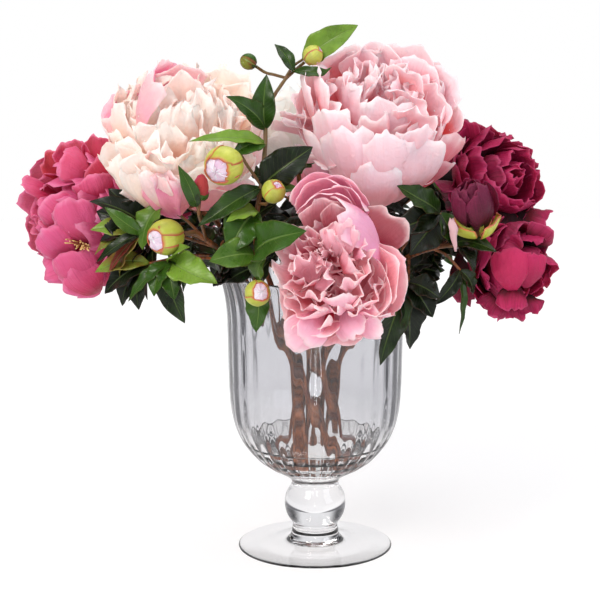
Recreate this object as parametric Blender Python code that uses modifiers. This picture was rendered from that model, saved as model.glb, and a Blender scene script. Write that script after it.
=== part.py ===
"""Peonies in a footed glass vase.

A bunch of ten peony blooms, one half-open flower, seven buds and their leafy stems, standing in
water in a fluted, footed glass vase. Metres, +Z up, front towards -Y. The origin is the centre of
the underside of the vase's foot.

Every bloom, bud and leafy stem is one solid: its petals or leaves are thin blades fused into a
core or a stem. The stems stand as a twisted bundle, so that they cross without touching.
"""

import math
import random

import bmesh
import bpy
from mathutils import Matrix, Vector
from mathutils.geometry import interpolate_bezier

MM = 0.001
GAP = 0.3  # millimetres kept between pieces that touch

# ---------------------------------------------------------------- driving dimensions (millimetres)

# Vase outline as (radius, height), up the outside and then down the inside.
FOOT_OUTLINE = [(74, 0), (74, 3), (27, 7.5), (21.7, 22.4)]
KNOP_OUTLINE = [(28.3, 34), (28.6, 51)]
BOWL_OUTLINE = [(22.7, 65.5), (46, 81), (68, 103), (80.8, 135), (84.3, 235), (96, 278)]
BOWL_INSIDE = [(92, 278), (80.3, 235), (76.8, 135), (62.5, 105), (40, 87.5), (16, 81)]
TURNING_STEPS = 64
WATER_STEPS = 28
FLUTES = 32
FLUTE_DEPTH = 1.6
FLUTE_START = 66  # the flutes rise out of the neck between these two heights
FLUTE_FULL = 91
WATER_LEVEL = 108

STEM_RADIUS = 3.0
TWIG_RADIUS = 1.5
PETIOLE_RADIUS = 1.2
STEM_ROUNDNESS = 1  # bevel resolution: six sides
TWIG_ROUNDNESS = 0  # four sides

# The stems are straight from their feet to the waist, where the bundle is tightest.
BUNDLE_TWIST = 100
OUTER_FOOT = 33
OUTER_WAIST = 24
INNER_FOOT = 14
INNER_WAIST = 9
WAIST_HEIGHT = 185
FOOT_RISE = 3.2  # a slanting stem's cut end stands this far above the bowl's floor

BLADE = 0.8  # thickness of petals and leaves

# Blooms, in bloom radii measured along the axis from the bloom's base.
BASE_DROP = 0.6  # from the base to the centre of the dome
HEEL_DROP = 0.17  # the heel that the stem meets ends this far behind the base
CORE_SIZE = 0.42
CORE_MIDDLE = 0.32
ROOT_RADIUS = 0.08  # petals spring from inside the core, this far off the axis
ROOT_DEPTH = 0.05
ROOT_STEP = 0.12  # each layer springs from this much further forward
PETAL_HANDLE = 0.42  # how far a petal holds its first and last direction, as a share of its length
PETAL_TIP_ROUNDING = 0.17  # a petal's edges end this much short of its middle
PETAL_FOOT_WIDTH = 0.03
PETAL_ROLL = (8, 13)  # degrees: each petal is rolled, so that one edge lies over its neighbour

BUD_HEEL = 1.12  # a bud's heel ends this many bud radii behind its centre
LEAF_ARCH = 0.16  # rise of a leaflet's middle, as a share of its length
LEAF_FOLD = 0.35  # rise of its edges over its rib, as a share of its half width
LEAF_CLEARANCE = 1.17  # leaves are bent clear of a ball this many bloom radii wide
BUD_CLEARANCE = 2.6  # and this many millimetres clear of a bud
RUN_UP = 14  # a stem is straight for this long before the bloom that it carries

# Petal layers, outermost first: number of petals, angle of the tip from the bloom's axis, reach
# and half width in bloom radii, angles from the axis at which the petal leaves the base and ends,
# and the roundness across (large is flat).
BOMB = [
    (6, 96, 1.10, 0.50, 108, 62, 1.5),
    (5, 68, 1.00, 0.50, 94, 14, 1.2),
    (3, 28, 0.98, 0.50, 52, 2, 0.9),
]
DOUBLE = [
    (6, 94, 1.12, 0.50, 106, 60, 1.6),
    (5, 62, 1.03, 0.54, 94, 4, 1.1),
    (3, 26, 0.98, 0.50, 52, -10, 0.9),
]
OPEN = [
    (6, 98, 1.10, 0.50, 104, 74, 1.8),
    (5, 68, 1.02, 0.52, 96, 18, 1.2),
    (3, 28, 0.92, 0.48, 56, 0, 1.0),
]
SHELL = [
    (5, 92, 1.10, 0.56, 106, 40, 1.4),
    (4, 58, 1.04, 0.60, 94, -12, 1.05),
    (2, 22, 1.00, 0.56, 48, -24, 0.95),
]
BACK = [
    (4, 90, 1.08, 0.64, 104, 46, 1.4),
    (3, 46, 1.00, 0.62, 76, -8, 1.05),
]
HALF_OPEN = [
    (3, 24, 1.30, 0.66, 84, -30, 0.75),
]

# Blooms: dome centre, direction faced, radius, height stretch, petal layers, colour.
BLOOMS = {
    "bloom_cream": ((-120, -42, 404), (-0.12, -0.66, 0.74), 68, 1.0, BOMB, "cream"),
    "bloom_blush": ((55, -34, 420), (0.05, -0.62, 0.78), 73, 1.0, DOUBLE, "blush"),
    "bloom_rose": ((19, -156, 309), (-0.12, -0.97, 0.06), 57, 1.36, OPEN, "rose"),
    "bloom_magenta": ((-216, 16, 325), (-0.80, -0.55, 0.10), 63, 1.0, SHELL, "magenta"),
    "bloom_burgundy_upper": ((165, 24, 361), (0.52, -0.60, 0.30), 52, 1.0, SHELL, "burgundy"),
    "bloom_burgundy_lower": ((182, -44, 281), (0.80, -0.50, -0.30), 42, 1.0, SHELL, "burgundy"),
    "bloom_white_back": ((-20, 92, 386), (-0.10, 0.42, 0.90), 50, 1.0, BACK, "white"),
    "bloom_magenta_back": ((-118, 130, 330), (-0.60, 0.76, 0.20), 52, 1.0, BACK, "magenta"),
    "bloom_rose_back": ((24, 160, 312), (0.10, 0.98, 0.12), 54, 1.0, BACK, "rose"),
    "bloom_burgundy_back": ((128, 128, 350), (0.55, 0.70, 0.40), 48, 1.0, BACK, "burgundy"),
}
HALF_OPEN_FLOWER = ((142, -118, 352), (-0.15, -0.20, 0.97), 21)

# Buds: centre, direction of the tip, radius, colour of the sepals.
BUDS = {
    "bud_large": ((-82, -140, 400), (-0.42, -0.88, -0.20), 17.5, "bud"),
    "bud_left": ((-135, -117, 330), (-0.76, -0.65, 0.0), 16.5, "bud"),
    "bud_small": ((-38, -142, 377), (0.40, -0.50, 0.77), 10.5, "bud"),
    "bud_low": ((-52, -167, 290), (0.30, -0.90, 0.30), 11.5, "bud"),
    "bud_top": ((-3, -50, 485), (0.75, -0.10, 0.65), 9, "bud"),
    "bud_green": ((-62, -22, 475), (-0.80, -0.20, 0.56), 7.5, "leaf"),
    "bud_crimson": ((-103, -144, 377), (0.10, -0.10, 0.98), 7, "crimson"),
}

# Stems: place round the bundle (degrees), inner ring or not, the points that the stem passes above
# the waist, and the bloom or bud that it ends under.
STEMS = {
    "stem_cream": (196, False, [(-62, -15, 258), (-92, -17, 322)], "bloom_cream"),
    "stem_blush": (340, True, [(26, -6, 262), (46, -4, 335)], "bloom_blush"),
    "stem_rose": (294, False, [(28, -62, 256), (29, -91, 290)], "bloom_rose"),
    "stem_magenta": (164, False, [(-66, 19, 254), (-95, 27, 290), (-140, 40, 312)], "bloom_magenta"),
    "stem_burgundy_upper": (33, False, [(66, 30, 262), (96, 40, 302)], "bloom_burgundy_upper"),
    "stem_burgundy_lower": (0, False, [(68, -8, 254), (97, -16, 288)], "bloom_burgundy_lower"),
    "stem_half_open": (327, False, [(60, -42, 256), (77, -54, 291), (110, -86, 314)], "half_open"),
    "stem_white_back": (130, True, [(-14, 28, 266)], "bloom_white_back"),
    "stem_magenta_back": (131, False, [(-46, 50, 256), (-64, 72, 292)], "bloom_magenta_back"),
    "stem_rose_back": (98, False, [(-2, 68, 256), (4, 96, 291)], "bloom_rose_back"),
    "stem_burgundy_back": (65, False, [(36, 58, 256), (56, 78, 294)], "bloom_burgundy_back"),
    "spray_left": (229, False, [(-44, -50, 254), (-64, -70, 290), (-98, -90, 320)], "bud_left"),
    "spray_centre": (262, False, [(-24, -66, 254), (-31, -89, 290), (-52, -122, 316), (-54, -126, 345),
                                  (-49, -118, 381), (-46, -98, 410), (-44, -82, 440), (-30, -68, 463)],
                     "bud_top"),
}

SEPALS = 3
SEPAL_REACH = 48  # degrees from a bud's tip that the sepals leave bare
SEPAL_RELIEF = 0.07  # in bud radii

# Side buds: the bud, the stem that bears it, and the height at which its stalk leaves that stem.
SIDE_BUDS = [
    ("bud_large", "spray_centre", 378),
    ("bud_small", "spray_centre", 362),
    ("bud_low", "spray_centre", 312),
    ("bud_green", "spray_centre", 466),
    ("bud_crimson", "spray_left", 322),
]

NODE_REACH = 9  # leaflets that meet nearer to their stem than this spring from the stem itself

# Leaves: the stem that each compound leaf grows from, the height at which its stalk leaves that
# stem, the point where its leaflets meet, and each leaflet's tip and width.
LEAVES = [
    ("spray_left", 312, (-158, -98, 329), [
        ((-191, -96, 353), 14), ((-199, -98, 303), 12), ((-190, -90, 290), 10), ((-180, -84, 281), 18)]),
    ("spray_left", 296, (-133, -110, 306), [
        ((-170, -118, 271), 14), ((-147, -128, 277), 22), ((-119, -126, 252), 25),
        ((-127, -132, 275), 22), ((-89, -140, 292), 30), ((-113, -140, 326), 14)]),
    ("spray_left", 322, (-140, -92, 354), [((-158, -104, 316), 24)]),
    ("spray_centre", 376, (-50, -118, 381), [
        ((-105, -142, 346), 20), ((-4, -120, 413), 32), ((-14, -126, 376), 12)]),
    ("spray_centre", 356, (-55, -128, 362), [((-79, -144, 321), 34), ((-80, -150, 351), 17)]),
    ("spray_centre", 338, (-55, -138, 318), [((-8, -196, 352), 34), ((-96, -150, 316), 28)]),
    ("spray_centre", 308, (-53, -136, 296), [((-44, -146, 322), 18), ((-54, -140, 247), 22)]),
    ("spray_centre", 412, (-49, -100, 413), [((-76, -118, 405), 18), ((-113, -130, 420), 14)]),
    ("spray_centre", 424, (-49, -92, 427), [
        ((-81, -104, 456), 20), ((-68, -88, 452), 18), ((-44, -92, 474), 22)]),
    ("spray_centre", 462, (-12, -28, 478), [((38, -34, 511), 26)]),
    ("spray_centre", 470, (-20, -62, 472), [((-38, -48, 495), 12), ((18, -66, 471), 10)]),
    ("stem_half_open", 300, (84, -100, 284), [
        ((85, -106, 222), 28), ((106, -110, 254), 27), ((113, -108, 271), 24), ((58, -122, 212), 26)]),
    ("stem_half_open", 312, (132, -84, 292), [
        ((108, -98, 262), 14), ((132, -86, 232), 9), ((145, -78, 268), 16)]),
    ("stem_half_open", 318, (112, -98, 348), [
        ((72, -104, 374), 24), ((66, -112, 332), 26), ((84, -112, 312), 30), ((128, -98, 318), 22)]),
    ("stem_cream", 300, (-84, -40, 322), [
        ((-108, -80, 300), 28), ((-68, -92, 334), 30)]),
    ("stem_magenta", 300, (-128, 0, 318), [
        ((-156, -42, 298), 28), ((-146, -52, 338), 28)]),
    ("stem_blush", 300, (14, -50, 338), [
        ((-20, -92, 352), 30), ((26, -94, 362), 30)]),
    ("stem_burgundy_upper", 300, (100, 8, 332), [
        ((92, -48, 352), 30), ((128, -44, 314), 28)]),
    ("stem_magenta_back", 296, (-94, 64, 296), [
        ((-166, 84, 262), 30), ((-128, 66, 236), 28), ((-84, 116, 250), 30)]),
    ("stem_rose_back", 292, (34, 104, 286), [((74, 142, 256), 30), ((36, 118, 222), 26)]),
    ("stem_rose_back", 292, (-20, 108, 292), [((-62, 146, 280), 30), ((-42, 122, 240), 28)]),
    ("stem_burgundy_back", 300, (88, 84, 300), [((134, 84, 258), 30), ((104, 112, 246), 28)]),
    ("stem_white_back", 316, (-34, 70, 332), [((-80, 104, 352), 30), ((-64, 52, 380), 26)]),
    ("stem_white_back", 326, (26, 68, 344), [((62, 108, 362), 30)]),
]

FINISHES = {
    # base colour, roughness, transmission
    "glass": ((0.93, 0.95, 0.95), 0.02, 1.0),
    "water": ((0.92, 0.96, 0.95), 0.02, 1.0),
    "stem": ((0.28, 0.12, 0.05), 0.5, 0.0),
    "leaf": ((0.10, 0.22, 0.05), 0.4, 0.0),
    "bud": ((0.62, 0.66, 0.14), 0.4, 0.0),
    "cream": ((0.95, 0.80, 0.68), 0.6, 0.0),
    "white": ((0.90, 0.86, 0.82), 0.6, 0.0),
    "blush": ((0.93, 0.60, 0.60), 0.6, 0.0),
    "rose": ((0.86, 0.40, 0.48), 0.6, 0.0),
    "magenta": ((0.74, 0.09, 0.25), 0.6, 0.0),
    "burgundy": ((0.40, 0.02, 0.11), 0.6, 0.0),
    "crimson": ((0.60, 0.03, 0.10), 0.6, 0.0),
    "plum": ((0.30, 0.05, 0.16), 0.6, 0.0),
}


# ---------------------------------------------------------------- scene, materials and solids

def clear_scene():
    for old in list(bpy.data.objects):
        bpy.data.objects.remove(old, do_unlink=True)


def new_collection(name):
    collection = bpy.data.collections.new(name)
    bpy.context.scene.collection.children.link(collection)
    return collection


def make_materials():
    materials = {}
    for name, (colour, roughness, transmission) in FINISHES.items():
        material = bpy.data.materials.new(name)
        material.use_nodes = True
        shader = material.node_tree.nodes["Principled BSDF"]
        shader.inputs["Base Color"].default_value = (*colour, 1)
        shader.inputs["Roughness"].default_value = roughness
        shader.inputs["Metallic"].default_value = 0
        shader.inputs["Transmission Weight"].default_value = transmission
        materials[name] = material
    return materials


def add_object(name, mesh_or_curve, collection):
    item = bpy.data.objects.new(name, mesh_or_curve)
    collection.objects.link(item)
    return item


def add_bmesh(name, bm, collection):
    mesh = bpy.data.meshes.new(name)
    bm.to_mesh(mesh)
    bm.free()
    return add_object(name, mesh, collection)


def evaluated_mesh(item):
    """The object's mesh with its modifiers applied, its seams welded and its faces outwards."""
    depsgraph = bpy.context.evaluated_depsgraph_get()
    mesh = bpy.data.meshes.new_from_object(item.evaluated_get(depsgraph))
    bm = bmesh.new()
    bm.from_mesh(mesh)
    bmesh.ops.remove_doubles(bm, verts=bm.verts, dist=0.001 * MM)
    bmesh.ops.recalc_face_normals(bm, faces=bm.faces)
    bm.to_mesh(mesh)
    bm.free()
    return mesh


def keep_largest_shell(mesh):
    """Fill hollows that fusing has sealed, and drop loose scraps: only the outer shell stays."""
    bm = bmesh.new()
    bm.from_mesh(mesh)
    unseen = set(bm.verts)
    shells = []
    while unseen:
        queue = [unseen.pop()]
        shell = set(queue)
        while queue:
            for edge in queue.pop().link_edges:
                for vert in edge.verts:
                    if vert in unseen:
                        unseen.remove(vert)
                        shell.add(vert)
                        queue.append(vert)
        shells.append(shell)
    largest = max(shells, key=len)
    bmesh.ops.delete(bm, geom=[v for v in bm.verts if v not in largest], context="VERTS")
    bmesh.ops.triangulate(bm, faces=bm.faces)
    bm.to_mesh(mesh)
    bm.free()


def fuse(name, body, repeats, material, collection):
    """One solid from a body and the repeats that grow from it."""
    if repeats.objects:
        merge = body.modifiers.new("fuse", "BOOLEAN")
        merge.operation = "UNION"
        merge.solver = "MANIFOLD"
        merge.operand_type = "COLLECTION"
        merge.collection = repeats
    mesh = evaluated_mesh(body)
    for used in list(repeats.objects) + [body]:
        bpy.data.objects.remove(used, do_unlink=True)
    keep_largest_shell(mesh)
    mesh.name = name
    mesh.materials.clear()
    mesh.materials.append(material)
    mesh.shade_smooth()
    mesh.set_sharp_from_angle(angle=math.radians(40))
    return add_object(name, mesh, collection)


# ---------------------------------------------------------------- curves and tubes

def smooth_path(points, steps):
    """A smooth curve through the points, with the given number of steps between each two."""
    spaced = [Vector(p) for p in points]
    ends = [2 * spaced[0] - spaced[1]] + spaced + [2 * spaced[-1] - spaced[-2]]
    path = [spaced[0]]
    for before, start, end, after in zip(ends, ends[1:], ends[2:], ends[3:]):
        reach = (end - start).length / 3
        leave = (end - before).normalized() * reach
        arrive = (after - start).normalized() * reach
        path += interpolate_bezier(start, start + leave, end - arrive, end, steps + 1)[1:]
    return path


def add_tube(name, path, radii, roundness, collection):
    """A round tube with closed ends along a path in millimetres, as a closed mesh."""
    curve = bpy.data.curves.new(name, "CURVE")
    curve.dimensions = "3D"
    curve.bevel_depth = MM
    curve.bevel_resolution = roundness
    curve.use_fill_caps = True
    spline = curve.splines.new("POLY")
    spline.points.add(len(path) - 1)
    for point, place, radius in zip(spline.points, path, radii):
        point.co = (*(Vector(place) * MM), 1)
        point.radius = radius
    guide = add_object(name, curve, collection)
    bpy.context.view_layer.update()
    mesh = evaluated_mesh(guide)
    bpy.data.objects.remove(guide, do_unlink=True)
    return add_object(name, mesh, collection)


# ---------------------------------------------------------------- vase and water

def flute_share(height):
    share = min(1, max(0, (height - FLUTE_START) / (FLUTE_FULL - FLUTE_START)))
    return share * share * (3 - 2 * share)


def add_turned(name, outline, steps, collection):
    """A solid of revolution: the outline runs from the axis to the axis, in millimetres."""
    bm = bmesh.new()
    verts = [bm.verts.new((radius * MM, 0, height * MM)) for radius, height in outline]
    for first, second in zip(verts, verts[1:]):
        bm.edges.new((first, second))
    item = add_bmesh(name, bm, collection)
    screw = item.modifiers.new("turn", "SCREW")
    screw.steps = steps
    screw.render_steps = steps
    screw.use_merge_vertices = True
    screw.merge_threshold = 0.01 * MM
    screw.use_normal_calculate = True
    bpy.context.view_layer.update()
    mesh = evaluated_mesh(item)
    bpy.data.objects.remove(item, do_unlink=True)
    return add_object(name, mesh, collection)


def make_vase(collection, materials):
    outside = FOOT_OUTLINE + KNOP_OUTLINE + BOWL_OUTLINE
    outline = [(0, 0)] + outside + BOWL_INSIDE + [(0, BOWL_INSIDE[-1][1])]
    vase = add_turned("vase", outline, TURNING_STEPS, collection)
    inner_radii = [radius for radius, _ in BOWL_INSIDE]
    for vert in vase.data.vertices:
        radius = math.hypot(vert.co.x, vert.co.y) / MM
        height = vert.co.z / MM
        on_inside = height > BOWL_INSIDE[-1][1] - 1 and any(abs(radius - r) < 0.2 for r in inner_radii)
        if on_inside or radius < 1:
            continue
        angle = math.atan2(vert.co.y, vert.co.x)
        depth = FLUTE_DEPTH * flute_share(height) * (0.5 - 0.5 * math.cos(FLUTES * angle))
        vert.co.x *= 1 - depth / radius
        vert.co.y *= 1 - depth / radius
    vase.data.materials.append(materials["glass"])
    vase.data.shade_smooth()
    vase.data.set_sharp_from_angle(angle=math.radians(40))
    return vase


def radius_inside(height):
    """The bowl's inner radius at a height."""
    for (upper_r, upper_h), (lower_r, lower_h) in zip(BOWL_INSIDE, BOWL_INSIDE[1:]):
        if lower_h <= height <= upper_h:
            return lower_r + (upper_r - lower_r) * (height - lower_h) / (upper_h - lower_h)
    raise ValueError("no bowl at this height")


def floor_height(radius):
    """The height of the bowl's inner surface at a radius."""
    for (outer_r, outer_h), (inner_r, inner_h) in zip(BOWL_INSIDE, BOWL_INSIDE[1:]):
        if inner_r <= radius <= outer_r:
            return inner_h + (outer_h - inner_h) * (radius - inner_r) / (outer_r - inner_r)
    return BOWL_INSIDE[-1][1]


def make_water(stem_feet, collection, cutters, materials):
    """The water: it fills the bowl up to its level, and has a plain hole for each stem."""
    wet = [(radius, height) for radius, height in BOWL_INSIDE if height < WATER_LEVEL]
    inset = GAP * 1.4
    outline = [(0, WATER_LEVEL), (radius_inside(WATER_LEVEL) - inset, WATER_LEVEL)]
    outline += [(radius - inset, height + inset) for radius, height in wet]
    outline += [(0, wet[-1][1] + inset)]
    water = add_turned("water_body", outline, WATER_STEPS, collection)
    for number, (foot, waist) in enumerate(stem_feet):
        along = (waist - foot).normalized()
        start = foot - along * 12
        end = foot + along * (2 * (WATER_LEVEL - foot.z) + 6)
        hole = add_tube(f"hole_{number}", [start, end], [STEM_RADIUS + GAP] * 2, STEM_ROUNDNESS, cutters)
        hole.hide_render = True
        hole.display_type = "WIRE"
    cut = water.modifiers.new("stem_holes", "BOOLEAN")
    cut.operation = "DIFFERENCE"
    cut.solver = "MANIFOLD"
    cut.operand_type = "COLLECTION"
    cut.collection = cutters
    bpy.context.view_layer.update()
    mesh = evaluated_mesh(water)
    bpy.data.objects.remove(water, do_unlink=True)
    for hole in list(cutters.objects):
        bpy.data.objects.remove(hole, do_unlink=True)
    keep_largest_shell(mesh)
    mesh.materials.append(materials["water"])
    return add_object("water", mesh, collection)


# ---------------------------------------------------------------- blades

def add_blade(name, columns, rows, place, collection):
    """A thin blade: a grid whose points (across -1..1, along 0..1) are laid out by a formula."""
    bm = bmesh.new()
    bmesh.ops.create_grid(bm, x_segments=columns, y_segments=rows, size=1)
    for vert in bm.verts:
        vert.co = place(vert.co.x, (vert.co.y + 1) / 2) * MM
    bmesh.ops.remove_doubles(bm, verts=bm.verts, dist=0.01 * MM)
    bmesh.ops.triangulate(bm, faces=bm.faces)
    blade = add_bmesh(name, bm, collection)
    thicken = blade.modifiers.new("thickness", "SOLIDIFY")
    thicken.thickness = BLADE * MM
    thicken.offset = 0
    return blade


def facing(axis):
    """A frame whose Z runs along the axis and whose Y is as near straight up as it can be."""
    forward = Vector(axis).normalized()
    up = Vector((0, 0, 1))
    if abs(forward.z) > 0.97:
        up = Vector((0, 1, 0))
    side = up.cross(forward).normalized()
    return Matrix((side, forward.cross(side), forward)).transposed()


def add_petal(name, bloom, layer, depth, turn, chance, collection):
    """One petal, from the bloom's base to a tip on its dome, cupped across."""
    centre, axis, size, stretch = bloom
    _, tip_angle, reach, half_width, leave, arrive, roundness = layer
    tip_angle = math.radians(tip_angle + chance.uniform(-4, 4))
    leave = math.radians(leave)
    arrive = math.radians(arrive + chance.uniform(-6, 6))
    reach *= chance.uniform(0.96, 1.03)
    half_width *= chance.uniform(0.93, 1.06)
    roll = math.radians(chance.uniform(*PETAL_ROLL))
    tip = Vector((reach * math.sin(tip_angle), 0, BASE_DROP + reach * math.cos(tip_angle)))
    root = Vector((ROOT_RADIUS, 0, ROOT_DEPTH + ROOT_STEP * depth))
    handle = PETAL_HANDLE * (tip - root).length
    bend = [root, root + handle * Vector((math.sin(leave), 0, math.cos(leave))),
            tip - handle * Vector((math.sin(arrive), 0, math.cos(arrive))), tip]
    frame = facing(axis)
    base = Vector(centre) - frame.col[2] * BASE_DROP * size
    turned = Matrix.Rotation(turn, 3, "Z")

    def place(across, along):
        step = along * (1 - PETAL_TIP_ROUNDING * across * across)
        back = 1 - step
        middle = (bend[0] * back ** 3 + bend[1] * 3 * back * back * step
                  + bend[2] * 3 * back * step * step + bend[3] * step ** 3)
        heading = ((bend[1] - bend[0]) * back * back + (bend[2] - bend[1]) * 2 * back * step
                   + (bend[3] - bend[2]) * step * step).normalized()
        inward = Vector((-heading.z, 0, heading.x))
        spread = half_width * math.sin(math.pi * 0.77 * step) ** 1.5 + PETAL_FOOT_WIDTH
        swing = across * spread / roundness
        sideways = Vector((0, 1, 0)) * math.cos(roll) + inward * math.sin(roll)
        lift = inward * math.cos(roll) - Vector((0, 1, 0)) * math.sin(roll)
        point = middle + roundness * (math.sin(swing) * sideways + (1 - math.cos(swing)) * lift)
        point = turned @ point
        point.y *= stretch
        return base + frame @ (point * size)

    rows = 3 if depth == 0 else 2
    add_blade(name, 2, rows, place, collection)


def make_bloom(name, bloom, layers, material, collection, scratch, seed):
    centre, axis, size, _ = bloom
    chance = random.Random(seed)
    for depth, layer in enumerate(layers):
        count = layer[0]
        start = chance.uniform(0, math.tau)
        for number in range(count):
            turn = start + math.tau * (number + chance.uniform(-0.12, 0.12)) / count
            add_petal(f"{name}_petal_{depth}_{number}", bloom, layer, depth, turn, chance, scratch)
    frame = facing(axis)
    forward = frame.col[2]
    core_middle = Vector(centre) + forward * (CORE_MIDDLE - BASE_DROP) * size
    bm = bmesh.new()
    bmesh.ops.create_icosphere(bm, subdivisions=1, radius=CORE_SIZE * size * MM,
                               matrix=Matrix.Translation(core_middle * MM) @ frame.to_4x4())
    core = add_bmesh(f"{name}_core", bm, collection)
    heel = bloom_base(bloom)
    add_tube(f"{name}_heel", [heel, heel + forward * 0.3 * size], [STEM_RADIUS * 1.5, STEM_RADIUS * 1.2],
             STEM_ROUNDNESS, scratch)
    return fuse(name, core, scratch, material, collection)


def bloom_base(bloom):
    """The underside of a bloom's heel, where its stem meets it."""
    centre, axis, size, _ = bloom
    return Vector(centre) - Vector(axis).normalized() * (BASE_DROP + HEEL_DROP) * size


# ---------------------------------------------------------------- buds

def bud_base(bud):
    centre, axis, size, _ = bud
    return Vector(centre) - Vector(axis).normalized() * size * BUD_HEEL


def sepal_rise(polar, turn):
    """How far the sepals stand out at a place on a bud: none over its parted tip."""
    gap = 0.5 - 0.5 * math.cos(SEPALS * turn)
    edge = math.radians(SEPAL_REACH) - 0.35 * gap
    return SEPAL_RELIEF * min(1, max(0, (polar - edge) / 0.25))


def make_bud(name, bud, materials, collection, scratch):
    """A bud: a ball of closed petals in sepals, which are raised from it by a formula."""
    centre, axis, size, finish = bud
    frame = facing(axis)
    bm = bmesh.new()
    bmesh.ops.create_uvsphere(bm, u_segments=9, v_segments=6, radius=size * MM)
    for vert in bm.verts:
        direction = vert.co.normalized()
        polar = math.acos(max(-1, min(1, direction.z)))
        turn = math.atan2(direction.y, direction.x)
        rise = 1 + sepal_rise(polar, turn) - SEPAL_RELIEF
        vert.co = (Vector(centre) + frame @ (direction * size * rise)) * MM
    globe = add_bmesh(f"{name}_globe", bm, collection)
    heel = bud_base(bud)
    add_tube(f"{name}_heel", [heel, heel + frame.col[2] * 0.5 * size], [TWIG_RADIUS * 1.3] * 2, 0, scratch)
    return fuse(name, globe, scratch, materials[finish], collection)


# ---------------------------------------------------------------- stems and leaves

def keep_clear(point, balls):
    """Move a point out of the balls that leaves are bent clear of."""
    for _ in range(2):
        for centre, radius in balls:
            away = point - centre
            if away.length < radius:
                point = centre + away.normalized() * radius
    return point


def add_leaflet(name, hub, tip, width, balls, collection):
    """One leaflet: folded along its rib, arched over, and bent clear of the flowers."""
    hub = Vector(hub)
    tip = Vector(tip)
    length = (tip - hub).length
    along_leaf = (tip - hub).normalized()
    outward = Vector((hub.x, hub.y, 0)).normalized() + Vector((0, 0, 0.8))
    side = along_leaf.cross(outward).normalized()
    face = side.cross(along_leaf).normalized()

    def place(across, along):
        arch = LEAF_ARCH * length * 4 * along * (1 - along) * (1 - 0.4 * along)
        middle = hub + (tip - hub) * along + face * arch
        half = 0.5 * width * math.sin(math.pi * along ** 0.8) ** 0.8 if 0 < along < 1 else 0
        if along == 0:
            half = PETIOLE_RADIUS
        point = middle + side * across * half + face * LEAF_FOLD * abs(across) * half
        return keep_clear(point, balls)

    add_blade(name, 2, 3, place, collection)


def stem_route(name, carried):
    """A stem's foot and waist, and its whole smooth path."""
    around, inner, above, _ = STEMS[name]
    foot_radius = INNER_FOOT if inner else OUTER_FOOT
    waist_radius = INNER_WAIST if inner else OUTER_WAIST
    foot_turn = math.radians(around + BUNDLE_TWIST)
    waist_turn = math.radians(around)
    foot_height = floor_height(foot_radius + STEM_RADIUS) + FOOT_RISE
    foot = Vector((foot_radius * math.cos(foot_turn), foot_radius * math.sin(foot_turn), foot_height))
    waist = Vector((waist_radius * math.cos(waist_turn), waist_radius * math.sin(waist_turn), WAIST_HEIGHT))
    end, heading = carried
    run_up = end - heading * RUN_UP
    steps = 2 if len(above) < 5 else 1
    path = smooth_path([waist] + [Vector(p) for p in above] + [run_up], steps)
    return foot, waist, [foot] + path + [end - heading * GAP]


def point_at_height(path, height):
    for lower, upper in zip(path, path[1:]):
        if lower.z <= height <= upper.z:
            return lower.lerp(upper, (height - lower.z) / (upper.z - lower.z))
    return path[-1]


def branch_path(start, end, heading):
    """A side stalk that leaves its stem and arrives along a heading."""
    run_up = end - heading * min(10, (end - start).length / 3)
    return [start, start.lerp(run_up, 0.6), run_up, end]


def make_stem(name, route, twigs, balls, material, collection, scratch):
    _, _, path = route
    top_radius = TWIG_RADIUS if name == "spray_centre" else STEM_RADIUS * 0.8
    radii = [STEM_RADIUS + (top_radius - STEM_RADIUS) * step / (len(path) - 1) for step in range(len(path))]
    stem = add_tube(f"{name}_stalk", path, radii, STEM_ROUNDNESS, collection)
    for number, (start, end, heading) in enumerate(twigs):
        twig = branch_path(start, end, heading)
        add_tube(f"{name}_twig_{number}", twig, [TWIG_RADIUS] * len(twig), TWIG_ROUNDNESS, scratch)
    grown = [leaf for leaf in LEAVES if leaf[0] == name]
    for number, (_, height, hub, leaflets) in enumerate(grown):
        start = point_at_height(path, height)
        hub = keep_clear(Vector(hub), balls)
        if (hub - start).length < NODE_REACH:
            hub = start
        else:
            bend = keep_clear(start.lerp(hub, 0.5) + Vector((0, 0, 4)), balls)
            stalk = [start, bend, hub + (hub - bend).normalized() * 1.5]
            add_tube(f"{name}_petiole_{number}", stalk, [PETIOLE_RADIUS * 1.3] * 3, TWIG_ROUNDNESS, scratch)
        for count, (tip, width) in enumerate(leaflets):
            add_leaflet(f"{name}_leaf_{number}_{count}", hub, tip, width, balls, scratch)
    return fuse(name, stem, scratch, material, collection)


# ---------------------------------------------------------------- the whole bunch

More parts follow.
